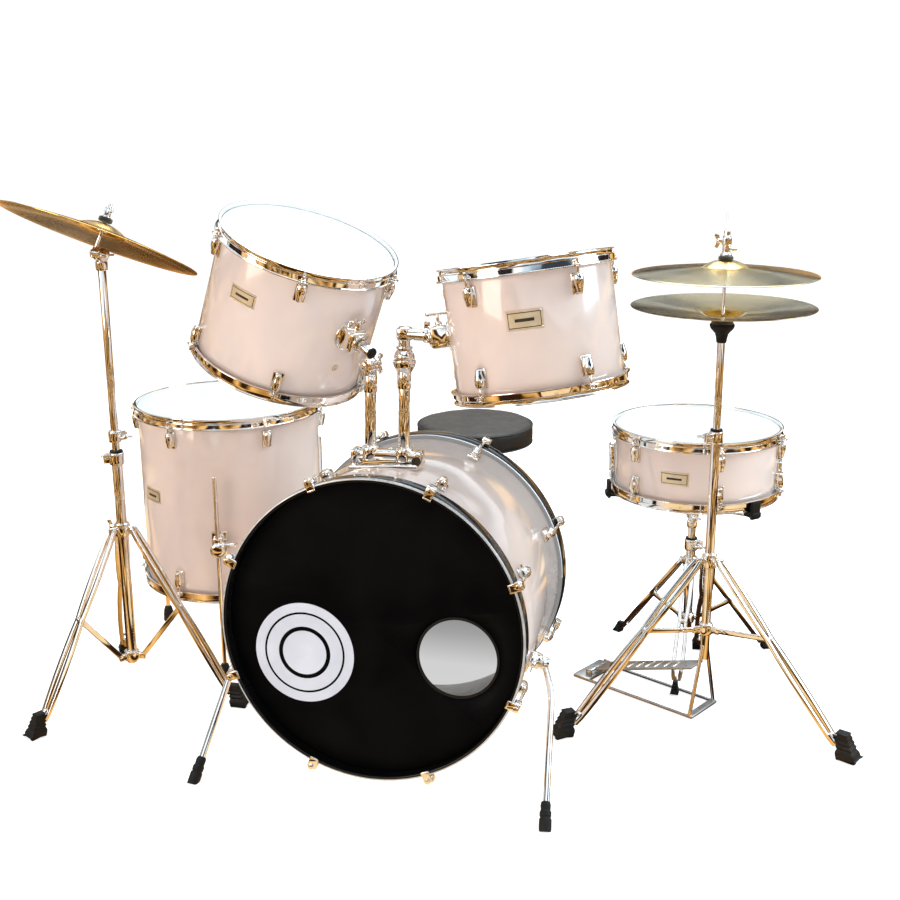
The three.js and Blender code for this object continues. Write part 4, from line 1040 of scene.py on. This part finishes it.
finishPiece(arm, "smallTomArm", "small_tom", ["small_tom_arm"])
print("tom mount ready")


def legFrame(top, foot):
    # +Z runs down the leg and +Y stays level, across it
    along = (Vector(foot) - Vector(top)).normalized()
    level = Vector((0, 1, 0))
    return Matrix.Translation(top) @ Matrix((level.cross(along), level, along)).transposed().to_4x4()


def addStrips(piece, top, foot, pinch, place, deep=7.5, thick=10, spreadWide=10.8):
    # two flat strips that meet where the strut and the foot hold them and bow apart between
    length = span(top, foot)
    for side in (1, -1):
        bm = bmesh.new()
        bmesh.ops.create_cube(bm, size=1)
        bmesh.ops.scale(bm, vec=(deep, thick, length), verts=bm.verts)
        bmesh.ops.translate(bm, vec=(0, 0, length / 2), verts=bm.verts)
        longEdges = [e for e in bm.edges if abs(e.verts[0].co.z - e.verts[1].co.z) > 1]
        bmesh.ops.bevel(bm, geom=longEdges, offset=0.9, offset_type="OFFSET", affect="EDGES", segments=2,
                        profile=0.5, material=-1)
        longEdges = [e for e in bm.edges if abs(e.verts[0].co.z - e.verts[1].co.z) > 1]
        bmesh.ops.subdivide_edges(bm, edges=longEdges, cuts=32, use_grid_fill=True)
        for vert in bm.verts:
            share = vert.co.z / length
            part = share / pinch if share < pinch else (share - pinch) / (1 - pinch)
            bow = math.sin(math.pi * min(max(part, 0), 1)) ** 0.45
            close = 6.4 if share < pinch * 0.5 else 5.2
            vert.co.y += side * (close + (spreadWide - close) * bow)
        bmesh.ops.recalc_face_normals(bm, faces=bm.faces)
        add(piece, bm, "chromePlate", place @ legFrame(top, foot))


def addFoot(piece, foot, place, radius, top):
    # a rubber boot that stands nearly upright under the leg's end, ribbed at the sides and flat on the floor
    tall = radius * 3.2
    boot = bmesh.new()
    bmesh.ops.create_cube(boot, size=1)
    bmesh.ops.translate(boot, vec=(0, 0, 0.5), verts=boot.verts)
    bmesh.ops.scale(boot, vec=(radius * 2.1, radius * 1.9, tall), verts=boot.verts)
    upright = [e for e in boot.edges if abs(e.verts[0].co.z - e.verts[1].co.z) > 1]
    bmesh.ops.subdivide_edges(boot, edges=upright, cuts=11, use_grid_fill=True)
    for vert in boot.verts:
        level = vert.co.z / tall
        width = 1.08 if level < 0.3 else 1.08 - 0.55 * (level - 0.3)
        if level > 0.3 and round(level * 12) % 2:
            width *= 0.88
        vert.co.x = vert.co.x * width + radius * (0.35 - 0.9 * level)
        vert.co.y *= width
        if level < 0.01:
            vert.co.z = 0.4 if vert.co.x < radius * 0.6 else radius * 0.35
    bmesh.ops.bevel(boot, geom=[e for e in boot.edges if e.calc_face_angle(0) > 0.5], offset=radius * 0.1,
                    offset_type="OFFSET",
                    affect="EDGES", segments=2, profile=0.5, material=-1)
    bmesh.ops.recalc_face_normals(boot, faces=boot.faces)
    add(piece, boot, "blackRubber", place @ shift(*foot))
    addBar(piece, place @ Vector(foot).lerp(Vector(top), 0.07), place @ Vector(foot).lerp(Vector(top), 0.13),
           radius * 0.55, edge=2)


def addStrut(piece, start, end, place):
    bm = roundedBox((11, 5.4, span(start, end)), 1.2)
    add(piece, bm, "chromePlate", place @ legFrame(start, end) @ shift(0, 0, span(start, end) / 2))
    for point in (start, end):
        add(piece, roundBar(8, 6.4, 1), "chromePlate",
            place @ shift(point[0], 4, point[2]) @ Matrix.Rotation(90 * degree, 4, "X"))


def addPin(piece, point, place, reach=8, radius=3.4):
    add(piece, roundBar(reach * 2, radius, 0.8, 16), "chromePlate",
        place @ shift(point[0], reach, point[2]) @ Matrix.Rotation(90 * degree, 4, "X"))
    for side in (1, -1):
        add(piece, turned([(0, 1.6), (3, 1.4), (5, 0.4), (5.2, -0.6), (0, -0.6)], 18), "chromePlate",
            place @ shift(point[0], side * reach, point[2]) @ Matrix.Rotation(-side * 90 * degree, 4, "X"))


def addCollar(piece, height, bore, outer, reach, legAngle, tall=26):
    ring = turned(eased([(bore, height - tall / 2), (outer, height - tall / 2), (outer + 1, height - 4),
                         (outer + 1, height + 4), (outer, height + tall / 2),
                         (bore, height + tall / 2)], 2, closed=True), 40, closed=True)
    add(piece, ring, "chromePlate")
    for angle in ringAngles(3, legAngle):
        add(piece, roundedBox((reach + 6 - bore, 7.6, 15), 2.4), "chromePlate",
            turnZ(angle) @ shift((reach + 6 + bore) / 2, 0, height))


def addClamp(piece, height, tube, wingAngle, bush=True, tall=26):
    # a split casting round a tube's end, its wing nut and the dark bush that grips the next tube
    outer = tube + 4.5
    add(piece, turned(eased([(tube - 2, height - tall), (outer - 1, height - tall),
                             (outer, height - tall + 4), (outer, height - 4), (outer - 1, height),
                             (tube - 2, height)], 1.5, closed=True), 40, closed=True), "chromePlate")
    at = turnZ(wingAngle)
    for side in (1, -1):
        add(piece, roundedBox((14, 5, tall - 6), 2), "chromePlate",
            at @ shift(outer + 4, side * 4.2, height - tall / 2))
    add(piece, roundBar(24, 3, 0.8, 16), "chromePlate",
        at @ shift(outer + 5, 12, height - tall / 2) @ Matrix.Rotation(90 * degree, 4, "X"))
    add(piece, wingNut(0.95), "chromePlate",
        at @ shift(outer + 5, -7, height - tall / 2) @ Matrix.Rotation(90 * degree, 4, "X"))
    if bush:
        add(piece, turned(eased([(tube - 2.2, height - 2), (tube + 2.6, height - 2), (tube + 2.4, height + 4),
                                 (tube - 2.2, height + 4)], 0.8, closed=True), 36,
                          closed=True), "blackRubber")


def addTube(piece, low, high, radius, finish="chromePlate"):
    add(piece, roundBar(high - low, radius, 0.8, 32), finish, shift(0, 0, low))


crash = {"x": -620, "y": 13, "tube": 11, "upper": 8, "clamp": 552, "collar": 385, "collarReach": 25,
         "hub": 98, "footCircle": 237,
         "legAngle": -117, "strutFromTop": 192, "pivot": 958, "footRadius": 15, "rodOffset": 30, "seat": 60}
crashFrame = standAt(crash["x"], crash["y"])
crashTop = (crash["collarReach"], 0, crash["collar"])
crashFoot = (crash["footCircle"], 0, 0)
crashLength = span(crashTop, crashFoot)
crashStrut = Vector(crashTop).lerp(Vector(crashFoot), crash["strutFromTop"] / crashLength)

piece = newPiece(crashFrame)
addTube(piece, 82, crash["clamp"] - 4, crash["tube"])
addCollar(piece, crash["hub"], 9, 15.5, 25, crash["legAngle"], 22)
addClamp(piece, crash["clamp"], crash["tube"], 200)
finishPiece(piece, "crashLowerTube", "floor_set", ["crash_lower_tube"])
piece = newPiece(crashFrame)
addCollar(piece, crash["collar"], 11.4, 16, 25, crash["legAngle"], 28)
add(piece, wingNut(1.0), "chromePlate", turnZ(180) @ shift(17, 0,
                                                           crash["collar"] + 4) @ Matrix.Rotation(90 * degree,
                                                               4, "Y"))
finishPiece(piece, "crashCollar", "crash_sleeve", ["crash_collar"])
for i, angle in enumerate(ringAngles(3, crash["legAngle"]), 1):
    place = turnZ(angle)
    piece = newPiece(crashFrame)
    addStrips(piece, crashTop, Vector(crashTop).lerp(Vector(crashFoot), 0.92),
              crash["strutFromTop"] / crashLength / 0.92, place)
    addPin(piece, crashTop, place)
    addFoot(piece, crashFoot, place, crash["footRadius"], crashTop)
    finishPiece(piece, f"crashLeg{i}", f"crash_leg_{i}", [f"crash_leg_{i}"])
    piece = newPiece(crashFrame)
    addStrut(piece, (crash["collarReach"], 0, crash["hub"]), crashStrut, place)
    addPin(piece, crashStrut, place, 6.5, 3)
    finishPiece(piece, f"crashStrut{i}", f"crash_strut_{i}", [f"crash_strut_{i}"])

pinAxis = Vector((0.811, -0.585, 0))
cymbalNormal = Vector((0.245, 0.34, 0.908)).normalized()
pivot = Vector((0, 0, crash["pivot"]))
piece = newPiece(crashFrame)
addTube(piece, 300, 944, crash["upper"])
addClamp(piece, 598, 9, 40, bush=False, tall=24)
add(piece, turned(eased([(0, 926), (11, 926), (12, 932), (12, 944), (8, 948), (0, 948)], 2), 32),
    "chromePlate")
for side in (1, -1):
    addBar(piece, pivot + pinAxis * side * 6.2, pivot + pinAxis * side * 13, 14, edge=2, steps=36)
add(piece, wingNut(1.05), "chromePlate", aimed(pivot + pinAxis * 15, pivot + pinAxis * 40))
finishPiece(piece, "crashUpperTube", "crash_post", ["crash_upper_tube"])
rodFoot = pivot - pinAxis * crash["rodOffset"]
seat = rodFoot + cymbalNormal * crash["seat"]
piece = newPiece(crashFrame)
addBar(piece, pivot - pinAxis * 5.4, pivot + pinAxis * 5.4, 13, edge=1, steps=36)
addBar(piece, rodFoot - pinAxis * 4, pivot + pinAxis * 16, 4)
addBar(piece, rodFoot - pinAxis * 5, rodFoot + pinAxis * 8, 8.5, edge=2, steps=28)
addBar(piece, rodFoot - cymbalNormal * 10, rodFoot + cymbalNormal * 12, 6, edge=1.5)
addBar(piece, rodFoot, seat + cymbalNormal * 44, 3.6, edge=1)
addBar(piece, seat - cymbalNormal * 15, seat - cymbalNormal * 9, 12, edge=1.4, steps=32)
addBar(piece, seat - cymbalNormal * 9, seat, 13, "greyFelt", edge=2.5, steps=32)
addBar(piece, seat + cymbalNormal * 5, seat + cymbalNormal * 15, 14, "greyFelt", edge=2.5, steps=32)
addBar(piece, seat + cymbalNormal * 15, seat + cymbalNormal * 17, 9, edge=0.6)
add(piece, wingNut(1.2), "chromePlate", aimed(seat + cymbalNormal * 17, seat + cymbalNormal * 60))
finishPiece(piece, "crashTilter", "crash_tilter", ["crash_tilter"])


def cymbalPiece(place, settings, finish, flip=1):
    # a thin lathed disc with a raised bell; each point keeps its distance from the middle
    radius, bow, bell, bellRadius, hole, thick = (settings[k] for k in ("radius", "bow", "bell", "bellRadius",
        "hole", "thick"))
    line = [(hole, bow + bell)]
    for step in range(1, 9):
        share = step / 8
        line.append((hole + (bellRadius - hole) * share, bow + bell * math.cos(share * math.pi / 2) ** 0.9))
    for step in range(1, 25):
        share = step / 24
        line.append((bellRadius + (radius - bellRadius) * share, bow * (1 - share ** 1.25)))
    top = [(r, z + thick) for r, z in line]
    piece = newPiece(place @ Matrix.Scale(flip, 4, (0, 0, 1)))
    disc = turned([*line, (radius + 0.4, thick * 0.5), *reversed(top)], 160, closed=True)
    if flip < 0:
        for face in disc.faces:
            face.normal_flip()
    distance = disc.verts.layers.float.new("fromCentre")
    for vert in disc.verts:
        vert[distance] = math.hypot(vert.co.x, vert.co.y) * 0.001
    piece["bm"].verts.layers.float.new("fromCentre")
    add(piece, disc, finish)
    return piece


crashCymbal = {"radius": 203, "bow": 17, "bell": 16, "bellRadius": 52, "hole": 6, "thick": 1.6}
rimHeight = 1.2 - crashCymbal["bow"] - crashCymbal["bell"]
cymbalTurn = cymbalNormal.to_track_quat("Z", "Y").to_matrix().to_4x4()
cymbalPlace = crashFrame @ Matrix.Translation(seat + cymbalNormal * rimHeight) @ cymbalTurn
finishPiece(cymbalPiece(cymbalPlace, crashCymbal, "crashBronze"), "crashCymbal", "crash_plate",
            ["crash_cymbal"], 60)
print("crash stand ready")

hat = {"x": 582, "y": 237, "tube": 9.5, "upper": 7.5, "clamp": 612, "collar": 339, "collarReach": 25,
       "hub": 188, "footCircle": 319,
       "legAngle": -146.3, "strutShare": 0.4, "seat": 832, "pedalAngle": 152, "heel": 268, "lowEdge": 862,
       "highEdge": 921.6}
hatFrame = standAt(hat["x"], hat["y"])
hatTop = (hat["collarReach"], 0, hat["collar"])
hatFoot = (hat["footCircle"], 0, 0)
hatStrut = Vector(hatTop).lerp(Vector(hatFoot), hat["strutShare"])

piece = newPiece(hatFrame)
add(piece, turned(eased([(7.7, 120), (hat["tube"], 120), (hat["tube"], hat["clamp"] - 4),
                         (7.7, hat["clamp"] - 4)], 0.4, closed=True), 32, closed=True),
    "chromePlate")
addCollar(piece, hat["collar"], 9, 14.5, 25, hat["legAngle"], 30)
addCollar(piece, hat["hub"], 9, 14, 25, hat["legAngle"], 24)
addClamp(piece, hat["clamp"], hat["tube"], 215)
add(piece, wingNut(0.9), "chromePlate", turnZ(-60) @ shift(15, 0,
                                                           hat["collar"] + 4) @ Matrix.Rotation(90 * degree,
                                                               4, "Y"))
pedalTurn = turnZ(hat["pedalAngle"])
for side in (1, -1):
    add(piece, roundedBox((hat["heel"] + 6, 6, 5), 1.2), "satinSteel",
        pedalTurn @ shift(hat["heel"] / 2, side * 48, 3.4))
    add(piece, pipeAlong(eased([(0, side * 47, 3), (0, side * 46, 12), (0, side * 8, 150)], 12, 5), 4, 5),
        "chromePlate", pedalTurn)
    add(piece, roundedBox((16, 4, 19), 1.6), "satinSteel", pedalTurn @ shift(hat["heel"], side * 34, 12.5))
add(piece, roundedBox((44, 102, 7.6), 2.4), "satinSteel", pedalTurn @ shift(hat["heel"] + 10, 0, 4))
add(piece, roundedBox((16, 102, 6), 1.8), "satinSteel", pedalTurn @ shift(0, 0, 3.4))
finishPiece(piece, "hihatLowerTube", "floor_set", ["hihat_lower_tube"])
for i, angle in enumerate(ringAngles(3, hat["legAngle"]), 1):
    place = turnZ(angle)
    piece = newPiece(hatFrame)
    addStrips(piece, hatTop, Vector(hatTop).lerp(Vector(hatFoot), 0.92), hat["strutShare"] / 0.92, place,
              deep=8.5, spreadWide=11.2)
    addPin(piece, hatTop, place)
    addPin(piece, hatStrut, place, 7)
    addStrut(piece, (hat["collarReach"], 0, hat["hub"]), hatStrut, place)
    addFoot(piece, hatFoot, place, 17, hatTop)
    finishPiece(piece, f"hihatLeg{i}", "floor_set", [f"hihat_leg_{i}"])

piece = newPiece(hatFrame)
addTube(piece, 380, 806, hat["upper"])
add(piece, turned(eased([(5, 790), (9.5, 790), (11, 800), (13, 808), (22, 818), (24, 822), (24, 827),
                         (20, 828), (5, 828)], 1.5, closed=True), 40,
                  closed=True), "blackRubber")
add(piece, turned(eased([(5, 827), (21, 827), (22, 829), (20.5, 832), (5, 832)], 0.8, closed=True), 40,
                  closed=True), "greyFelt")
finishPiece(piece, "hihatUpperTube", "floor_set", ["hihat_upper_tube"])

hatCymbal = {"radius": 178, "bow": 15, "bell": 13, "bellRadius": 44, "hole": 6, "thick": 1.4}
finishPiece(cymbalPiece(hatFrame @ shift(0, 0, hat["lowEdge"]), hatCymbal, "hatBronze", -1),
            "hihatBottomCymbal", "floor_set", ["hihat_bottom_cymbal"],
            60)
finishPiece(cymbalPiece(hatFrame @ shift(0, 0, hat["highEdge"]), hatCymbal, "hatBronze"), "hihatTopCymbal",
            "hat_rod", ["hihat_top_cymbal"],
            60)
piece = newPiece(hatFrame)
bellTop = hat["highEdge"] + 29.8
addTube(piece, 130, 1040, 3.1)
add(piece, turned(eased([(3, bellTop), (14, bellTop), (15, bellTop + 3), (13, bellTop + 7), (3, bellTop + 7)],
                        1.4, closed=True), 36, closed=True), "greyFelt")
add(piece, turned(eased([(3, bellTop + 7), (11, bellTop + 7), (11, bellTop + 11), (7.5, bellTop + 14),
                         (7.5, bellTop + 27), (9.5, bellTop + 29), (9.5, bellTop + 42),
                         (6, bellTop + 46), (6, bellTop + 55), (3, bellTop + 55)], 1.2, closed=True), 36,
                  closed=True), "chromePlate")
add(piece, wingNut(0.95), "chromePlate", shift(-8, 0, bellTop + 36) @ Matrix.Rotation(-90 * degree, 4, "Y"))
add(piece, roundBar(12, 3.4, 0.8), "chromePlate",
    shift(8, 0, bellTop + 20) @ Matrix.Rotation(90 * degree, 4, "Y"))
finishPiece(piece, "hihatPullRod", "hat_rod", ["hihat_pull_rod"])


def footboardPiece(place, heel, hingeHeight, toe, toeHeight, width):
    # a long plate with raised grip bars, tapering to the toe
    piece = newPiece(place)
    start, end = (heel - 8, 0, hingeHeight + 4), (toe, 0, toeHeight)
    length = span(start, end)
    board = roundedBox((5, width, length), 1.8)
    for vert in board.verts:
        share = vert.co.z / length + 0.5
        vert.co.y *= 0.86 + 0.14 * math.sin(math.pi * min(1, share * 1.15)) - 0.2 * max(0, share - 0.8)
    at = legFrame(start, end)
    add(piece, board, "satinSteel", at @ shift(0, 0, length / 2))
    for i in range(7):
        add(piece, roundedBox((2, width * 0.62, 6), 0.8), "chromePlate",
            at @ shift(3, 0, length * (0.24 + 0.095 * i)))
    add(piece, roundBar(width + 12, 3, 0.6, 16), "chromePlate",
        shift(heel, (width + 12) / 2, hingeHeight) @ Matrix.Rotation(90 * degree, 4, "X"))
    add(piece, roundedBox((16, 22, 7), 2), "satinSteel", shift(heel - 4, 0, hingeHeight + 1))
    return piece


finishPiece(footboardPiece(hatFrame @ pedalTurn, hat["heel"], 16, 16, 100, 62), "hihatFootboard", "hat_board",
            ["hihat_footboard"])
print("hi-hat ready")


def fixedTripod(piece, legs, tube, clampTop, wingAngle):
    top = (legs["reach"], 0, legs["collar"])
    foot = (legs["footCircle"], 0, 0)
    strut = Vector(top).lerp(Vector(foot), legs["strutShare"])
    addTube(piece, legs["hub"] - 28, clampTop - 4, tube)
    addCollar(piece, legs["collar"], 9, tube + 5, legs["reach"], legs["angle"], 26)
    addCollar(piece, legs["hub"], 9, tube + 4, legs["reach"], legs["angle"], 22)
    addClamp(piece, clampTop, tube, wingAngle)
    for angle in ringAngles(3, legs["angle"]):
        place = turnZ(angle)
        addStrips(piece, top, Vector(top).lerp(Vector(foot), 0.9), legs["strutShare"] / 0.9, place, deep=7,
                  thick=8.6, spreadWide=9.4)
        addPin(piece, top, place)
        addPin(piece, strut, place, 7, 3)
        addStrut(piece, (legs["reach"], 0, legs["hub"]), strut, place)
        addFoot(piece, foot, place, legs["footRadius"], top)


snareLegs = {"collar": 235, "reach": 22, "hub": 98, "footCircle": 200, "strutShare": 0.45, "angle": 147,
             "footRadius": 8.5}
snareFrame = standAt(532, 501)
piece = newPiece(snareFrame)
fixedTripod(piece, snareLegs, 10.5, 290, 0)
finishPiece(piece, "snareStandTripod", "floor_set", ["snare_stand_tripod"])
basketAxis = Vector((0.26, -0.966, 0))
basketPivot = Vector((0, 0, 345))
piece = newPiece(snareFrame)
addTube(piece, 176, 334, 8.6)
add(piece, turned(eased([(0, 318), (11, 318), (12, 324), (12, 333), (9, 336), (0, 336)], 1.5), 32),
    "chromePlate")
for side in (1, -1):
    addBar(piece, basketPivot + basketAxis * side * 7, basketPivot + basketAxis * side * 13, 12.4, edge=1.8,
           steps=32)
add(piece, wingNut(1.0), "chromePlate", aimed(basketPivot + basketAxis * 13, basketPivot + basketAxis * 40))
finishPiece(piece, "snareStandUpperTube", "snare_post", ["snare_stand_upper_tube"])
piece = newPiece(snareFrame)
addBar(piece, basketPivot - basketAxis * 6.2, basketPivot + basketAxis * 6.2, 11, edge=1, steps=32)
addBar(piece, basketPivot - basketAxis * 17, basketPivot + basketAxis * 17, 4)
add(piece, roundedBox((10, 10, 20), 2), "chromePlate", shift(0, 0, 354))
add(piece, turned(eased([(0, 360), (15, 360), (17, 364), (17, 372), (12, 377), (0, 377)], 2), 40),
    "chromePlate")
for angle in ringAngles(3, 195):
    place = turnZ(angle)
    start, end = (8, 0, 368), (178, 0, 397)
    add(piece, roundedBox((7, 13, span(start, end)), 2), "chromePlate",
        place @ legFrame(start, end) @ shift(0, 0, span(start, end) / 2))
    add(piece, roundedBox((30, 25, 13), 3.5), "blackRubber", place @ shift(184, 0, 401))
    add(piece, roundedBox((8, 25, 40), 3), "blackRubber", place @ shift(191.6, 0, 411))
finishPiece(piece, "snareStandBasket", "snare_drum", ["snare_stand_basket"])
print("snare stand ready")

pedal = {"axleY": 268, "axleZ": 182, "heelY": 486, "rodLength": 165}
piece = newPiece(kitFrame)
add(piece, roundedBox((112, 278, 6), 2), "satinSteel", shift(0, 361, 3.05))
for i in range(9):
    add(piece, roundedBox((70, 3, 2), 0.8), "blackRubber", shift(0, 300 + i * 18, 6.4))
add(piece, roundedBox((40, 20, 33), 4), "chromePlate", shift(0, 232, 17))
add(piece, wingNut(1.2), "chromePlate", shift(0, 240, 30) @ Matrix.Rotation(-60 * degree, 4, "X"))
for side in (1, -1):
    addBar(piece, (side * 46, pedal["axleY"], 4), (side * 46, pedal["axleY"], 198), 6.2, edge=2)
    addBar(piece, (side * 46, pedal["axleY"], 4), (side * 46, pedal["axleY"], 22), 10, edge=2)
    add(piece, roundedBox((14, 23, 23), 4), "chromePlate", shift(side * 46, pedal["axleY"], pedal["axleZ"]))
    add(piece, roundedBox((5, 18, 22), 2), "satinSteel", shift(side * 44, pedal["heelY"], 13))
coilPath = [(54 + 5 * math.cos(t * 0.9), 268 + 5 * math.sin(t * 0.9), 60 + t * 1.05) for t in range(90)]
add(piece, pipeAlong(coilPath, 0.9, 2), "chromePlate")
addBar(piece, (54, 268, 40), (54, 268, 62), 2.4)
finishPiece(piece, "bassPedalFrame", "floor_set", ["bass_pedal_frame"])
finishPiece(footboardPiece(kitFrame @ turnZ(90), pedal["heelY"], 18, 292, 84, 72), "bassPedalFootboard",
            "pedal_board", ["bass_pedal_footboard"])
lean = 32 * degree
axle = Vector((0, pedal["axleY"], pedal["axleZ"]))
rodDirection = Vector((0, math.sin(lean), math.cos(lean)))
tip = axle + rodDirection * pedal["rodLength"]
piece = newPiece(kitFrame)
addBar(piece, axle - Vector((50, 0, 0)), axle + Vector((50, 0, 0)), 5, edge=1)
addBar(piece, axle - Vector((12, 0, 0)), axle + Vector((12, 0, 0)), 14, edge=2, steps=36)
addBar(piece, axle, tip, 3, edge=0.8)
addBar(piece, tip - rodDirection * 6, tip + rodDirection * 4, 7, edge=2)
addBar(piece, tip - Vector((22, 0, 0)), tip + Vector((22, 0, 0)), 23.5, "greyFelt", edge=5, steps=40)
finishPiece(piece, "bassPedalBeater", "beater", ["bass_pedal_beater"])
print("bass pedal ready")

throne = {"x": -52, "y": 845, "top": 450, "thick": 58, "radius": 150, "swell": 0.002}
throneFrame = standAt(throne["x"], throne["y"])
throneLegs = {"collar": 250, "reach": 24, "hub": 120, "footCircle": 235, "strutShare": 0.42, "angle": -90,
              "footRadius": 10.5}
piece = newPiece(throneFrame)
fixedTripod(piece, throneLegs, 14.5, 300, 60)
finishPiece(piece, "throneTripod", "floor_set", ["throne_tripod"])

seatUnder = throne["top"] - throne["thick"]
piece = newPiece(throneFrame)
addTube(piece, 200, seatUnder - 4, 11)
add(piece, turned(eased([(0, seatUnder - 12), (44, seatUnder - 12), (50, seatUnder - 8), (50, seatUnder + 2),
                         (0, seatUnder + 2)], 3), 40), "satinSteel")
finishPiece(piece, "thronePost", "seat", [])


def seatCushion():
    piece = newPiece(throneFrame)
    radius, top = throne["radius"], throne["top"]
    rim = eased([(0, seatUnder + 1), (radius - 4, seatUnder + 1), (radius + 2.5, seatUnder + 9),
                 (radius + 2.5, top - 11), (radius - 5, top - 2),
                 (0, top)], 5, 5)
    add(piece, turned(rim, 72), "seatVinyl")
    cushion = finishPiece(piece, "throneSeat", "seat", ["throne_seat"], 180)
    swellCushion(cushion)
    return cushion


def applyModifiers(thing):
    bpy.context.view_layer.update()
    shaped = bpy.data.meshes.new_from_object(thing.evaluated_get(bpy.context.evaluated_depsgraph_get()))
    old = thing.data
    shaped.name = old.name
    thing.modifiers.clear()
    thing.data = shaped
    bpy.data.meshes.remove(old)


def swellCushion(cushion):
    # the cover is filled from inside, but no point moves further than the cap
    remesh = cushion.modifiers.new("remesh", "REMESH")
    remesh.mode = "VOXEL"
    remesh.voxel_size = 0.006
    remesh.use_smooth_shade = True
    applyModifiers(cushion)
    before = [v.co.copy() for v in cushion.data.vertices]
    cloth = cushion.modifiers.new("cloth", "CLOTH")
    cloth.settings.use_pressure = True
    cloth.settings.uniform_pressure_force = 4
    cloth.settings.effector_weights.gravity = 0
    cloth.point_cache.frame_start = 1
    cloth.point_cache.frame_end = 20
    for number in range(1, 21):
        bpy.context.scene.frame_set(number)
    applyModifiers(cushion)
    bpy.context.scene.frame_set(1)
    floorLevel = seatUnder * 0.001
    for vert, old in zip(cushion.data.vertices, before):
        move = vert.co - old
        if move.length > throne["swell"]:
            vert.co = old + move.normalized() * throne["swell"]
        vert.co.z = max(vert.co.z, floorLevel)
    smooth = cushion.modifiers.new("smooth", "SUBSURF")
    smooth.levels = 1
    smooth.render_levels = 1
    applyModifiers(cushion)
    for polygon in cushion.data.polygons:
        polygon.use_smooth = True


def paintedShadeBelow(material, edge, shade):
    # painted shade: below the given height the material's colour is multiplied darker, so the throne seat's
    # sides and underside read as shaded under its lit top
    nodes, links = material.node_tree.nodes, material.node_tree.links
    shader = nodes["Principled BSDF"]
    cover = shader.inputs["Base Color"].links[0].from_socket
    coords = nodes.new("ShaderNodeTexCoord")
    split = nodes.new("ShaderNodeSeparateXYZ")
    band = ramp(nodes, [(edge - 0.006, shade), (edge, (1, 1, 1))])
    tint = nodes.new("ShaderNodeMix")
    tint.data_type = "RGBA"
    tint.blend_type = "MULTIPLY"
    tint.inputs["Factor"].default_value = 1
    links.new(coords.outputs["Object"], split.inputs[0])
    links.new(split.outputs["Z"], band.inputs["Fac"])
    links.new(cover, tint.inputs["A"])
    links.new(band.outputs["Color"], tint.inputs["B"])
    links.new(tint.outputs["Result"], shader.inputs["Base Color"])


# painted shade on the seat's sides, underside and piping, just under the top
paintedShadeBelow(finishes["seatVinyl"], throne["top"] * 0.001 - 0.004, (0.2, 0.2, 0.22))
cushion = seatCushion()


def coverReach(height):
    near = [v.co for v in cushion.data.vertices if abs(v.co.z * 1000 - height) < 8]
    middle = throneFrame.translation.xy
    return max((co.xy - middle).length for co in near) * 1000


piece = newPiece(throneFrame)
for height in (throne["top"] - 9, seatUnder + 7):
    reach = coverReach(height)
    section = [(reach - 2.6, height - 1.8), (reach + 0.6, height - 1.8), (reach + 0.6, height + 1.8),
               (reach - 2.6, height + 1.8)]
    add(piece, turned(eased(section, 1.2, closed=True), 96, closed=True), "seatVinyl")
finishPiece(piece, "seatPiping", "seat", [])
print("throne ready")


floorStops = [
    (0.0, (0.02, 0.008, 0.004)),
    (0.44, (0.04, 0.015, 0.005)),
    (0.465, (0.6, 0.28, 0.06)),
    (0.50, (0.95, 0.52, 0.16)),
    (0.525, (1.1, 0.64, 0.24)),
    (0.54, (0.7, 0.34, 0.08)),
    (0.565, (0.03, 0.014, 0.006)),
    (0.61, (0.03, 0.014, 0.006)),
    (0.63, (1.1, 0.8, 0.45)),
]


def addFloor():
    bm = bmesh.new()
    bmesh.ops.create_grid(bm, x_segments=1, y_segments=1, size=12)
    mesh = bpy.data.meshes.new("floor")
    bm.to_mesh(mesh)
    bm.free()
    floor = bpy.data.objects.new("floor", mesh)
    floor.location = (0, 0, -0.0006)
    bpy.context.collection.objects.link(floor)
    material, shader = newFinish("paleFloor",
                                 {"Roughness": 0.9, "Specular IOR Level": 0.1,
                                  "Base Color": (0.95, 0.95, 0.95, 1)})
    tree = material.node_tree
    # the plating reflects a wooden floor with lamps over it, and the eye sees a plain white one
    wood = tree.nodes.new("ShaderNodeEmission")
    spots = tree.nodes.new("ShaderNodeTexNoise")
    spots.inputs["Scale"].default_value = 0.9
    spots.inputs["Detail"].default_value = 0
    tones = ramp(tree.nodes, floorStops)
    coords = tree.nodes.new("ShaderNodeTexCoord")
    glow = tree.nodes.new("ShaderNodeEmission")
    glow.inputs["Strength"].default_value = 0.72
    lit = tree.nodes.new("ShaderNodeAddShader")
    rays = tree.nodes.new("ShaderNodeLightPath")
    mix = tree.nodes.new("ShaderNodeMixShader")
    out = tree.nodes["Material Output"]
    tree.links.new(coords.outputs["Object"], spots.inputs["Vector"])
    tree.links.new(spots.outputs["Fac"], tones.inputs["Fac"])
    tree.links.new(tones.outputs["Color"], wood.inputs["Color"])
    tree.links.new(shader.outputs[0], lit.inputs[0])
    tree.links.new(glow.outputs[0], lit.inputs[1])
    tree.links.new(rays.outputs["Is Glossy Ray"], mix.inputs["Fac"])
    tree.links.new(lit.outputs[0], mix.inputs[1])
    tree.links.new(wood.outputs[0], mix.inputs[2])
    tree.links.new(mix.outputs[0], out.inputs["Surface"])
    mesh.materials.append(material)


addFloor()
print("scene ready")
